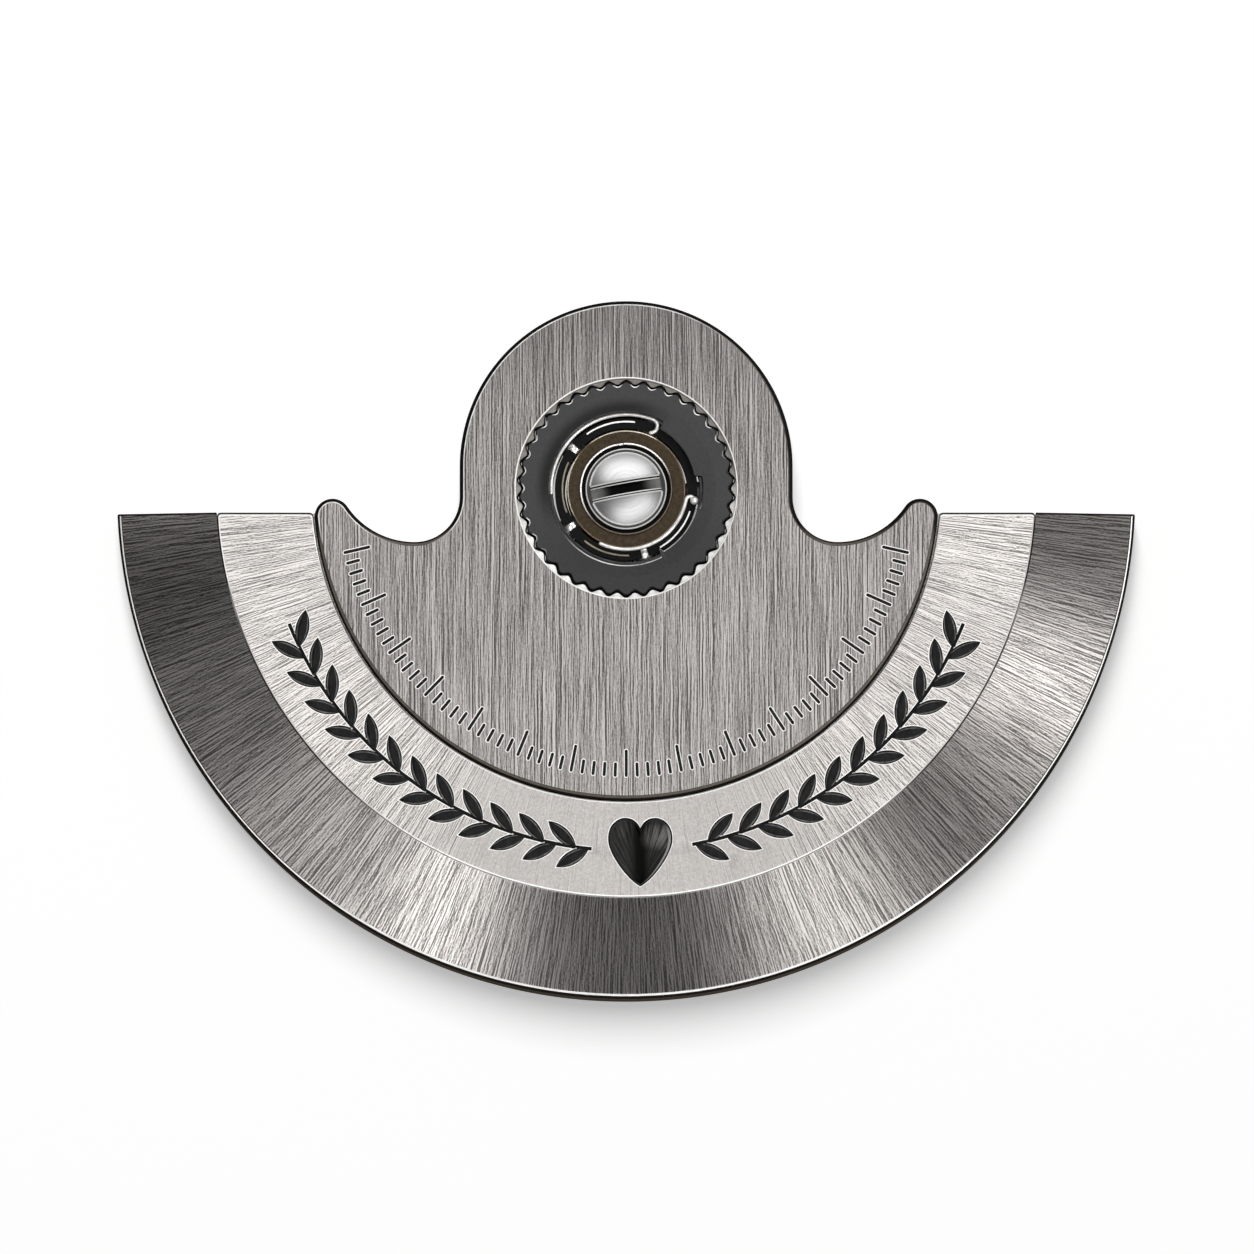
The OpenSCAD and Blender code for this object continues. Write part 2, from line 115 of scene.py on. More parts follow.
def rounded(corners):
    """Replaces each corner (across, up, rounding) of a closed outline with an arc of that rounding."""
    made, steps = [], 4
    for i, (x, y, size) in enumerate(corners):
        if size == 0:
            made.append((x, y))
            continue
        here = Vector((x, y))
        back = (Vector(corners[i - 1][:2]) - here).normalized()
        ahead = (Vector(corners[(i + 1) % len(corners)][:2]) - here).normalized()
        half = back.angle(ahead) / 2
        centre = here + (back + ahead).normalized() * (size / math.sin(half))
        start, end = (here + way * (size / math.tan(half)) - centre for way in (back, ahead))
        for k in range(steps + 1):
            way = start * (1 - k / steps) + end * (k / steps)
            made.append(tuple(centre + way.normalized() * size))
    return made


def grown(loop, distance):
    """A closed loop, with its inside on its left, moved outwards."""
    points = np.array(loop, float)
    ahead = np.roll(points, -1, axis=0) - points
    ahead /= np.linalg.norm(ahead, axis=1)[:, None]
    outward = np.stack([ahead[:, 1], -ahead[:, 0]], 1)
    before = np.roll(outward, 1, axis=0)
    share = np.maximum(1 + (outward * before).sum(1), 0.35)
    moved = points + (outward + before) / share[:, None] * distance
    return [tuple(p) for p in moved]


def inside(points, loop):
    """Which points lie inside a closed loop, by counting the edges to their right."""
    x, y = points[:, :1], points[:, 1:2]
    start = np.array(loop, float)
    end = np.roll(start, -1, axis=0)
    rise = end[:, 1] - start[:, 1]
    rise[rise == 0] = 1
    crossed = (start[:, 1] > y) != (end[:, 1] > y)
    where = start[:, 0] + (y - start[:, 1]) * (end[:, 0] - start[:, 0]) / rise
    return (crossed & (x < where)).sum(1) % 2 == 1


def triangulated(loops):
    """Corners, triangles and the triangles' centres of the plane cut along the loops."""
    points, edges = [], []
    for loop in loops:
        first = len(points)
        points += [Vector(p) for p in loop]
        edges += [(first + i, first + (i + 1) % len(loop)) for i in range(len(loop))]
    found = geometry.delaunay_2d_cdt(points, edges, [], 0, 1e-6)
    corners = np.array([tuple(p) for p in found[0]])
    triangles = np.array(found[2])
    return corners, triangles, corners[triangles].mean(axis=1)


def together(shapes):
    """The outlines round several overlapping shapes taken as one, without their shortest edges."""
    shortest = 0.006
    corners, triangles, centres = triangulated(shapes)
    kept = np.zeros(len(triangles), bool)
    for shape in shapes:
        kept |= inside(centres, shape)
    edges = {e for a, b, c in triangles[kept].tolist() for e in ((a, b), (b, c), (c, a))}
    ahead = {a: b for a, b in sorted(edges) if (b, a) not in edges}
    loops = []
    while ahead:
        first = min(ahead)
        loop = [first]
        step = ahead.pop(first)
        while step != first:
            loop.append(step)
            step = ahead.pop(step)
        points = [tuple(corners[i]) for i in loop]
        loops.append([p for i, p in enumerate(points) if math.dist(p, points[i - 1]) > shortest])
    return loops


class Shape:
    """Collects the points of one piece, in millimetres, and its faces with their materials."""

    def __init__(self, plain):
        self.points, self.faces, self.finishes = [], [], []
        self.plain = self.finish = plain

    def add(self, points):
        self.points.extend(points)
        return len(self.points) - len(points)

    def face(self, corners):
        self.faces.append(tuple(corners))
        self.finishes.append(self.finish)

    def grid(self, rows, closed=False):
        """Joins rows of points with four-sided faces. Closed rows meet their own start."""
        width = len(rows[0])
        first = self.add([p for row in rows for p in row])
        for i in range(len(rows) - 1):
            for j in range(width if closed else width - 1):
                a = first + i * width + j
                b = first + i * width + (j + 1) % width
                self.face((a, b, b + width, a + width))

    def bands(self, rows, finishes, closed=True):
        """Joins rows. Each band between two rows has its own material."""
        for upper, lower, finish in zip(rows, rows[1:], finishes):
            self.finish = finish
            self.grid([upper, lower], closed)
        self.finish = self.plain

    def cap(self, row):
        first = self.add(row)
        self.face(range(first, first + len(row)))

    def caps(self, rows):
        """Closes both ends of rows that run along a piece."""
        self.cap([row[0] for row in rows])
        self.cap([row[-1] for row in rows])

    def flat(self, loops, height):
        """Fills the outlines at one height. A loop inside another is a hole."""
        corners, triangles, centres = triangulated(loops)
        kept = np.zeros(len(triangles), bool)
        for loop in loops:
            kept ^= inside(centres, loop)
        first = self.add([(x, y, height) for x, y in corners.tolist()])
        for triangle in triangles[kept].tolist():
            self.face(first + i for i in triangle)

    def sector(self, profile, first, last, soften=0.01, steps=24):
        """Part of a turned ring, with softened ends."""
        mean_r = sum(r for r, z in profile) / len(profile)
        turn = math.degrees(soften / mean_r)
        smaller = grown(profile, -soften)
        rows = []
        for (r, z), (s, w) in zip(profile, smaller):
            turns = [first + turn + (last - first - 2 * turn) * i / steps for i in range(steps + 1)]
            rows.append([at(s, first, w), *[at(r, t, z) for t in turns], at(s, last, w)])
        self.grid(rows + rows[:1])
        self.caps(rows)

    def tube(self, path, radius):
        """A round wire along a path, with domed ends."""
        path = [Vector(p) for p in path]
        last = len(path) - 1
        ways = [(path[min(i + 1, last)] - path[max(i - 1, 0)]).normalized() for i in range(last + 1)]
        dome, sides = (22.5, 45, 67.5, 89), 16
        stops = [(path[0], ways[0], -a) for a in reversed(dome)]
        stops += [(p, w, 0) for p, w in zip(path, ways)]
        stops += [(path[-1], ways[-1], a) for a in dome]
        rows = []
        for point, way, angle in stops:
            side = way.cross(Vector((0, 0, 1))).normalized()
            up = side.cross(way)
            centre = point + way * (radius * math.sin(math.radians(angle)))
            reach = radius * math.cos(math.radians(angle))
            rows.append([tuple(centre + (side * math.cos(t) + up * math.sin(t)) * reach)
                         for t in (2 * math.pi * k / sides for k in range(sides))])
        self.grid(rows, closed=True)
        self.cap(rows[0])
        self.cap(rows[-1])

    def ball(self, centre, radius, around=40, levels=24):
        """A ball, from its lowest to its highest point."""
        rows = []
        for i in range(levels + 1):
            tilt = math.pi * i / levels - math.pi / 2
            reach, height = radius * math.cos(tilt), centre[2] + radius * math.sin(tilt)
            rows.append(lift(arc(centre, reach, 0, 360, around), height))
        self.grid(rows, closed=True)

    def piece(self, name, body, slot, *nodes, sharp=34):
        """Makes the Blender object, which rides on a body and stands for the named nodes."""
        mesh = bpy.data.meshes.new(name)
        mesh.from_pydata([Vector(p) * MM for p in self.points], [], self.faces)
        materials = list(dict.fromkeys([self.plain, *self.finishes]))
        for material in materials:
            mesh.materials.append(material)
        mesh.polygons.foreach_set("material_index", [materials.index(finish) for finish in self.finishes])
        work = bmesh.new()
        work.from_mesh(mesh)
        bmesh.ops.remove_doubles(work, verts=work.verts, dist=WELD)
        bmesh.ops.recalc_face_normals(work, faces=work.faces)
        work.to_mesh(mesh)
        work.free()
        mesh.polygons.foreach_set("use_smooth", [True] * len(mesh.polygons))
        mesh.set_sharp_from_angle(angle=math.radians(sharp))
        even_normals(mesh)
        obj = bpy.data.objects.new(name, mesh)
        scene.collection.objects.link(obj)
        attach(obj, body)
        if nodes:
            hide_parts(*nodes)
        return obj


def even_normals(mesh):
    """Lets large faces, and level ones above all, shade evenly up to their softened edges."""
    total = np.zeros((len(mesh.vertices), 3))
    level = np.zeros((len(mesh.vertices), 3))
    for face in mesh.polygons:
        corners = list(face.vertices)
        total[corners] += np.array(face.normal) * (face.area / MM ** 2)
        if abs(face.normal.z) > 0.9999:
            level[corners] = face.normal
    is_level = np.abs(level[:, 2]) > 0
    total[is_level] = level[is_level]
    total /= np.maximum(np.linalg.norm(total, axis=1), 1e-12)[:, None]
    smooth = np.ones(len(mesh.vertices), bool)
    for edge in mesh.edges:
        if edge.use_edge_sharp:
            smooth[list(edge.vertices)] = False
    corners = np.array([tuple(corner.vector) for corner in mesh.corner_normals])
    owners = np.array([loop.vertex_index for loop in mesh.loops])
    corners[smooth[owners]] = total[owners[smooth[owners]]]
    mesh.normals_split_custom_set(corners)


def refinish(obj, material, chosen):
    """Gives the chosen faces another material."""
    materials = obj.data.materials
    if material.name not in materials:
        materials.append(material)
    index = materials.find(material.name)
    for face in obj.data.polygons:
        if chosen(face):
            face.material_index = index


def rgba(tone):
    """A colour from three shares, or a grey from one."""
    return (*tone, 1) if isinstance(tone, tuple) else (tone, tone, tone, 1)


class Graph:
    """Adds nodes to a material or the world. An input is a number, a tuple or another node's output."""

    def __init__(self, owner):
        owner.use_nodes = True
        self.tree = owner.node_tree
        self.tree.nodes.clear()

    def feed(self, socket, value):
        if isinstance(value, bpy.types.NodeSocket):
            self.tree.links.new(value, socket)
        else:
            socket.default_value = value

    def node(self, kind, inputs=(), **settings):
        """Adds one node. Its inputs are given as (name or number, value)."""
        made = self.tree.nodes.new(kind)
        for key, value in settings.items():
            setattr(made, key, value)
        for key, value in inputs:
            self.feed(made.inputs[key], value)
        return made

    def math(self, operation, *values):
        return self.node("ShaderNodeMath", enumerate(values), operation=operation).outputs[0]

    def times(self, first, second):
        return self.math("MULTIPLY", first, second)

    def vector(self, operation, *values):
        made = self.node("ShaderNodeVectorMath", enumerate(values), operation=operation)
        return made.outputs["Value" if operation in ("LENGTH", "DOT_PRODUCT") else "Vector"]

    def scaled(self, vector, amount):
        made = self.node("ShaderNodeVectorMath", [(0, vector), ("Scale", amount)], operation="SCALE")
        return made.outputs[0]

    def spread(self, value, low, high, to_low=0.0, to_high=1.0, smooth=False):
        """Maps a value from one range to another and stops at its ends."""
        kind = "SMOOTHSTEP" if smooth else "LINEAR"
        inputs = enumerate((value, low, high, to_low, to_high))
        return self.node("ShaderNodeMapRange", inputs, interpolation_type=kind).outputs[0]

    def noise(self, place, size, detail=2.0, rough=0.6):
        inputs = [("Vector", place), ("Scale", size), ("Detail", detail), ("Roughness", rough)]
        return self.node("ShaderNodeTexNoise", inputs).outputs[0]

    def mix(self, share, first, second):
        """Goes from one colour to another as the share goes from 0 to 1."""
        inputs = [(0, share), (6, rgba(first)), (7, rgba(second))]
        return self.node("ShaderNodeMix", inputs, data_type="RGBA").outputs[2]

    def blend(self, share, first, second):
        """Goes from one number to another as the share goes from 0 to 1."""
        return self.node("ShaderNodeMix", [(0, share), (2, first), (3, second)]).outputs[0]

    def parts(self, vector):
        return self.node("ShaderNodeSeparateXYZ", [(0, vector)]).outputs

    def joined(self, *values):
        return self.node("ShaderNodeCombineXYZ", enumerate(values)).outputs[0]

    def facing(self, vector, azimuth):
        """How far a vector reaches in one direction from the axis."""
        return self.vector("DOT_PRODUCT", vector, at(1, azimuth, 0.0))


class Finish(Graph):
    """The nodes of a new material, which knows the point that it shades, in millimetres."""

    def __init__(self, name):
        self.material = bpy.data.materials.new(name)
        super().__init__(self.material)
        self.place = self.scaled(self.node("ShaderNodeTexCoord").outputs["Object"], 1 / MM)
        level = self.vector("MULTIPLY", self.place, (1.0, 1.0, 0.0))
        self.radius = self.vector("LENGTH", level)
        self.outward = self.vector("NORMALIZE", level)

    def made(self, colour, height, bump, *inputs):
        """Ends the material: a surface of one colour with a fine relief."""
        relief = self.node("ShaderNodeBump", [("Strength", bump), ("Distance", RELIEF), ("Height", height)])
        surface = self.node("ShaderNodeBsdfPrincipled",
                            [("Base Color", colour), ("Normal", relief.outputs[0]), *inputs])
        self.node("ShaderNodeOutputMaterial", [(0, surface.outputs[0])])
        return self.material


# Depth of a material's relief, in metres
RELIEF = 0.00002
# Width of a brush mark, in millimetres
MARK_W = 0.026
# Layers of brush marks: width and length as shares of the metal's own, strength and kind.
# A groove has a light and a dark side, a strip one tone. Among rare grooves few are strong.
MARKS = ((2.0, 0.7, 3.4, "groove"), (2.9, 1.6, 24.0, "rare"), (2.3, 0.1, 1.7, "groove"),
         (1.2, 1.0, 1.3, "strip"), (5.3, 2.0, 0.35, "strip"), (17.0, 3.0, 0.20, "strip"))


def brushed(name, way, dark, light, roughness, anisotropy, length=1.5, bump=0.05, level=0.5, contrast=1.0,
            skew=0.0, frosted=False, shade=None):
    """Metal with brush marks that run outwards (rays), along Y (straight) or round the axis (rings).

    The level is the mean tone between the two colours. A skew deepens the dark marks, and a frosted
    metal loses its marks at the bottom.
    """
    graph = Finish(name)
    place, radius, outward = graph.place, graph.radius, graph.outward
    x, y = graph.parts(place)[:2]
    if way == "rays":
        side, run_way = graph.times(graph.math("ARCTAN2", y, x), 11.0), graph.joined(radius)
        across = graph.vector("CROSS_PRODUCT", (0.0, 0.0, 1.0), outward)
    elif way == "straight":
        side, run_way, across = x, graph.joined(y), (1.0, 0.0, 0.0)
    else:
        side, run_way, across = radius, graph.scaled(outward, 1.2), outward
    for size, detail, waver in ((0.9, 2.0, 0.06), (5.0, 1.0, 0.012)):
        side = graph.math("MULTIPLY_ADD", graph.noise(place, size, detail), waver, side)
    tones = [level]
    for width, run, strength, kind in MARKS:
        number = graph.math("DIVIDE", side, MARK_W * width)
        own = graph.joined(0.0, 0.0, graph.times(graph.math("FLOOR", number), 7.31))
        own = graph.noise(graph.vector("ADD", own, graph.scaled(run_way, 1 / (length * run))), 1.0, 1.0)
        own = graph.math("SUBTRACT", own, 0.5)
        if kind == "rare":
            own = graph.times(own, graph.math("ABSOLUTE", own))
        if kind != "strip":
            own = graph.times(own, graph.math("SINE", graph.times(number, 2 * math.pi)))
        tones.append(graph.math("MULTIPLY_ADD", own, strength * contrast, tones[-1]))
    height, tone = tones[-2:]
    dust = graph.math("SUBTRACT", graph.noise(place, 22.0, 1.0), 0.5)
    tone = graph.math("MULTIPLY_ADD", dust, 0.6 * contrast, tone)
    if skew:
        low = graph.math("MINIMUM", graph.math("SUBTRACT", tone, level), 0.0)
        tone = graph.math("MULTIPLY_ADD", low, skew, tone)
    if frosted:
        frost = graph.spread(graph.noise(place, 18.0, 3.0, 0.75), 0.3, 0.7, level - 0.25, level + 0.15)
        bottom = graph.spread(graph.facing(outward, 270), 0.80, 0.95, 0.0, 0.9, smooth=True)
        tone = graph.blend(bottom, tone, frost)
    if shade:
        tone = graph.times(tone, shade(graph))
    tangent = graph.node("ShaderNodeVectorTransform", [(0, across)], vector_type="VECTOR",
                         convert_from="OBJECT", convert_to="WORLD").outputs[0]
    rough = graph.spread(tone, 0.0, 1.0, roughness + 0.03, roughness - 0.03)
    return graph.made(graph.mix(tone, dark, light), height, bump, ("Metallic", 1.0), ("Roughness", rough),
                      ("Tangent", tangent), ("Anisotropic", anisotropy))


def coated(name, low, high, roughness, metal=0.0, grain=6.0, stretch=(1.0, 1.0, 1.0), bump=0.05, share=None,
           gloss=0.5):
    """A lacquer or a plain metal with a fine grain. Its two colours follow the grain, or a share that paints
    light and shade onto it.
    """
    graph = Finish(name)
    fine = graph.noise(graph.vector("MULTIPLY", graph.place, stretch), grain, 3.0, 0.65)
    tone = graph.spread(fine, 0.3, 0.7)
    blend = graph.times(graph.spread(fine, 0.3, 0.7, 0.72, 1.0), share(graph)) if share else tone
    rough = graph.spread(tone, 0.0, 1.0, roughness - 0.05, roughness + 0.05)
    return graph.made(graph.mix(blend, low, high), fine, bump, ("Metallic", metal), ("Roughness", rough),
                      ("Specular IOR Level", gloss))


# Middle of the heart
HEART_X, HEART_Y = at(HEART_REACH, 270 + HEART_TURN)


def dome_painted_shade(graph):
    """Painted shade: the dome's top is a little darker than the rest of the plate."""
    return graph.spread(graph.facing(graph.place, 90), 1.6, 4.2, 1.0, 0.70, smooth=True)


def towards(*sides):
    """A share that is full in some directions from the axis: azimuth, where it starts, where it is full."""
    def share(graph):
        total = 0.0
        for azimuth, start, full in sides:
            limits = (math.cos(math.radians(a)) for a in (start, full))
            part = graph.spread(graph.facing(graph.outward, azimuth), *limits, smooth=True)
            total = graph.math("MAXIMUM", part, total)
        return total
    return share


def hook_painted_shade(graph):
    """Painted shade beside the hook wire, where the ring dips, and a little painted shade towards the
    weight.
    """
    near = graph.spread(graph.radius, 1.98, 2.30, 1.0, 0.0, smooth=True)
    dip = graph.spread(graph.times(towards((132, 82, 40))(graph), near), 0.0, 1.0, 1.0, 0.0)
    return graph.times(dip, graph.spread(towards((272, 85, 30))(graph), 0.0, 1.0, 1.0, 0.66))


def tooth_valley_highlight(graph):
    """A painted highlight in the rounded valleys between the ring's teeth, on the side that faces the lamp.
    """
    valley = graph.spread(graph.radius, ROOT_R - 0.002, ROOT_R + 0.05, 1.0, 0.0, smooth=True)
    return graph.times(valley, towards((118, 112, 75))(graph))


def lower_arc(graph):
    """The part of the plate's edge that stands over the land."""
    return graph.spread(graph.facing(graph.place, 270), 0.9, 1.4)


def plate_light(graph):
    """A painted highlight on the plate's upper edge, most of all on its left."""
    upper = graph.spread(lower_arc(graph), 0.0, 1.0, 1.0, 0.0)
    return graph.times(upper, towards((150, 120, 40))(graph))


def land_light(graph):
    """A painted highlight on the land's edge at the bottom, at its left end and along the straight edge."""
    chord = graph.spread(graph.facing(graph.place, 90), -CHORD_DROP - 0.12, -CHORD_DROP - 0.10)
    return graph.math("MAXIMUM", chord, towards((272, 48, 30), (184, 12, 6))(graph))


def heart_streaks_and_sheen(graph):
    """Streaks that fan out from the heart's point, under a painted sheen that is lightest in the right lobe
    and painted shade that is black along the middle.
    """
    local = graph.vector("SUBTRACT", graph.place, (HEART_X, HEART_Y - HEART_H / 2, 0.0))
    x, y = graph.parts(local)[:2]
    fan = graph.joined(graph.times(graph.math("ARCTAN2", x, y), 22.0), y)
    streak = graph.spread(graph.noise(fan, 1.0, 3.0), 0.35, 0.65, 0.12, 1.0)
    light = graph.spread(graph.math("ABSOLUTE", x), 0.04, 0.34, 0.0, 0.20, smooth=True)
    level = graph.vector("MULTIPLY", local, (1.0, 1.0, 0.0))
    for across, up, reach, strength in ((0.44, 1.22, 0.50, 1.0), (-0.45, 1.32, 0.42, 0.30)):
        away = graph.vector("LENGTH", graph.vector("SUBTRACT", level, (across, up, 0.0)))
        light = graph.math("MAXIMUM", light, graph.spread(away, reach, 0.0, 0.0, strength, smooth=True))
    return graph.times(light, streak)


def heart_low_highlight(graph):
    """A painted highlight on the lower right of the heart's edge."""
    local = graph.vector("SUBTRACT", graph.place, (HEART_X, HEART_Y, 0.0))
    return graph.spread(graph.facing(local, -28), 0.15, 0.50, smooth=True)


def slot_lit_ends(graph):
    """Painted light at the outer ends of the screw's slot, which is otherwise in painted shade."""
    along = graph.math("ABSOLUTE", graph.facing(graph.place, SLOT_TURN))
    return graph.spread(along, 0.35, 0.95, smooth=True)


# Colours are linear, from dark to light, then the roughness and for brushed metal the anisotropy
WHITE, SHADE_DARK, BROWN = (0.95, 0.94, 0.92), (0.010, 0.009, 0.008), (0.14, 0.118, 0.098)
plate_steel = brushed("plate_steel", "straight", (0.100, 0.093, 0.088), (0.57, 0.54, 0.52), 0.46, 0.9,
                      length=2.2, contrast=1.05, shade=dome_painted_shade)
land_steel = brushed("land_steel", "rays", (0.20, 0.19, 0.18), (0.75, 0.715, 0.69), 0.48, 0.7,
                     length=1.2, level=0.67, contrast=1.25, skew=0.8, frosted=True)
heavy_metal = brushed("heavy_metal", "rays", (0.150, 0.140, 0.133), (0.80, 0.76, 0.73), 0.36, 1.0,
                      length=1.2, bump=0.01, contrast=1.5)
polished = brushed("polished_steel", "rings", 0.78, 0.88, 0.22, 0.3, bump=0.02)
screw_steel = brushed("screw_steel", "rings", 0.68, 0.74, 0.42, 0.0, bump=0.02)
flange_steel = brushed("flange_steel", "rings", 0.16, 0.30, 0.30, 0.2, bump=0.02)
race_steel = brushed("race_steel", "rings", 0.02, 0.06, 0.40, 0.3, bump=0.03)
ball_steel = brushed("ball_steel", "rings", (0.84, 0.83, 0.81), (0.95, 0.94, 0.92), 0.34, 0.0, bump=0.01)
pin_steel = brushed("pin_steel", "straight", 0.45, 0.62, 0.35, 0.3)
cut_steel = coated("cut_steel", (0.30, 0.29, 0.28), (0.44, 0.43, 0.41), 0.38, metal=0.9, grain=12.0)
wire_steel = coated("wire_steel", (0.66, 0.64, 0.61), WHITE, 0.34, metal=0.5)
# Painted shade: the rim's sides are dark brown
heavy_side = coated("heavy_side", (0.050, 0.040, 0.030), (0.11, 0.09, 0.07), 0.6, grain=8.0, gloss=0.0)
# Painted light towards the bottom of the recess, painted shade elsewhere
recess_steel = coated("recess_steel", (0.21, 0.195, 0.175), WHITE, 0.35, metal=0.2,
                      share=towards((275, 100, 62)))
bronze = coated("bronze", (0.024, 0.016, 0.008), (0.062, 0.043, 0.024), 0.42, metal=0.3, grain=9.0, bump=0.1,
                gloss=0.15)
# The screw's slot in painted shade, lighter at its outer ends
slot_steel = coated("slot_steel", 0.004, (0.40, 0.40, 0.39), 0.36, metal=0.2, share=slot_lit_ends, gloss=0.1)
# The blackened ring, with painted shade beside the hook wire and towards the weight
black_steel = coated("black_steel", 0.003, (0.049, 0.049, 0.051), 0.48, metal=0.1, grain=14.0,
                     share=hook_painted_shade, gloss=0.3)
cage_black = coated("cage_black", 0.004, 0.010, 0.5, grain=14.0, gloss=0.05)

# Thin lines along the edges: the bright ones are painted highlights, the dark ones painted shade
edge_highlight = coated("edge_highlight", (0.88, 0.87, 0.85), WHITE, 0.30, metal=0.1)
edge_shade = coated("edge_shade", SHADE_DARK, (0.018, 0.016, 0.014), 0.6, grain=20.0, gloss=0.0)
# Painted shade on the plate's edge, brown and less dark over the land
plate_edge = coated("plate_edge", SHADE_DARK, BROWN, 0.6, grain=12.0, share=lower_arc, gloss=0.0)
# Painted highlight on the plate's upper edge
plate_line = coated("plate_line", (0.05, 0.045, 0.04), WHITE, 0.30, metal=0.2, share=plate_light)
# Painted highlight on the land's lip
land_lip = coated("land_lip", (0.46, 0.44, 0.42), WHITE, 0.30, metal=0.2, share=land_light)
# A line in painted shade, with a painted highlight towards the bottom
land_line = coated("land_line", (0.030, 0.026, 0.022), WHITE, 0.40, share=towards((272, 48, 30)), gloss=0.1)
# Painted highlight in the valleys between the ring's teeth
tooth_edge = coated("tooth_edge", 0.008, WHITE, 0.30, metal=0.3, share=tooth_valley_highlight, gloss=0.2)
# Painted highlight on the opening's edge, towards the lower right and the bottom
open_edge = coated("open_edge", 0.02, (0.60, 0.59, 0.57), 0.30, metal=0.5,
                   share=towards((318, 34, 22), (265, 50, 20)))
# Painted highlight on the sleeve's lip, towards the top
sleeve_line = coated("sleeve_line", (0.07, 0.052, 0.036), WHITE, 0.28, metal=0.4,
                     share=towards((118, 110, 60)))
# Painted highlight on the race's edge, towards the top and the left
race_line = coated("race_line", (0.19, 0.138, 0.078), (0.95, 0.86, 0.68), 0.30, metal=0.4,
                   share=towards((93, 38, 28), (176, 34, 24)))
brown_lip = coated("brown_lip", (0.12, 0.095, 0.07), (0.24, 0.20, 0.15), 0.32, metal=0.5)

# Fills of the engraving
black_lacquer = coated("black_lacquer", 0.003, 0.016, 0.36, grain=2.6, stretch=(3.0, 1.2, 1.0), bump=0.12,
                       gloss=0.10)
# The heart's fill: fine streaks with a painted sheen in its right lobe and painted shade along its middle
heart_lacquer = coated("heart_lacquer", 0.002, (0.24, 0.233, 0.225), 0.45, grain=16.0, share=heart_streaks_and_sheen,
                       gloss=0.04)
# Painted highlight on the lower right of the heart's edge facet
heart_facet_highlight = coated("heart_facet_highlight", 0.020, (0.30, 0.29, 0.28), 0.35, grain=10.0, share=heart_low_highlight, gloss=0.1)
# Painted highlight on one facet each side of a leaf
leaf_facet_highlight = coated("leaf_facet_highlight", 0.05, (0.21, 0.207, 0.20), 0.40, grain=9.0, gloss=0.1)
dark_lacquer = coated("dark_lacquer", (0.008, 0.007, 0.006), (0.022, 0.02, 0.018), 0.45, grain=20.0,
                      gloss=0.1)


# Outline of the plate
ear_c = at(PLATE_R - EAR_R, -EAR_ANGLE)
neck_c = (HUB_R + NECK_FILLET_R, -NECK_FILLET_DROP)
hollow_y = neck_c[1] - NECK_FILLET_R
run_x, run_y = ear_c[0] - neck_c[0], hollow_y - ear_c[1]
wing_r = (run_x * run_x + run_y * run_y - EAR_R * EAR_R) / (2 * (EAR_R - run_y))
wing_c = (neck_c[0], hollow_y + wing_r)
wing_dir = math.degrees(math.atan2(wing_c[1] - ear_c[1], wing_c[0] - ear_c[0]))


def plate_outline(inset):
    """The plate's outline, moved inwards."""
    half = arc((0, 0), PLATE_R - inset, 270, 360 - EAR_ANGLE, 110)
    half += arc(ear_c, EAR_R - inset, -EAR_ANGLE, wing_dir, 22)
    half += arc(wing_c, wing_r + inset, wing_dir + 180, 270, 22)
    half += arc(neck_c, NECK_FILLET_R + inset, 270, 180, 16)
    half += [(HUB_R - inset, neck_c[1] + (HUB_Y - neck_c[1]) * i / 4) for i in range(4)]
    half += arc((0, HUB_Y), HUB_R - inset, 0, 90, 60)
    return half + [(0, HUB_Y + HUB_R - inset)] + [(-x, y) for x, y in reversed(half[1:])]


def tooth_r(grow, degrees):
    """Radius of the wavy teeth in one direction."""
    swing = (TIP_R - ROOT_R) / 2 * math.cos(math.radians(TEETH * (degrees - TOOTH_START)))
    return (TIP_R + ROOT_R) / 2 + grow + swing


def tooth_row(grow, height=None):
    return [at(tooth_r(grow, t), t, height) for t in ring_turns]


def stroke_outline(number):
    """One stroke of the graduation, with rounded ends. Every fifth one is long."""
    length = SCALE_LONG if number % 5 == 0 else SCALE_SHORT
    half = SCALE_W / 2
    loop = arc((SCALE_R - half, 0), half, -90, 90, 5) + [(SCALE_R - half, half)]
    loop += arc((SCALE_R - length + half, 0), half, 90, 270, 5) + [(SCALE_R - length + half, -half)]
    return [rotated(x, y, 270 + STROKE_STEP * number) for x, y in loop]


ring_turns = [TOOTH_START + turn for turn in circle(TEETH * 16)]
stroke_loops = [stroke_outline(i) for i in range(-STROKES, STROKES + 1)]


def pocket_walls(shape, loops, top, bottom):
    """A small chamfer with a painted highlight round each loop, and the wall below it in painted shade."""
    for loop in loops:
        shape.bands([lift(grown(loop, LIP), top), lift(grown(loop, LIP * 0.3), top - LIP * 0.35),
                     lift(loop, top - LIP), lift(loop, bottom)], [edge_highlight, edge_shade, edge_shade])


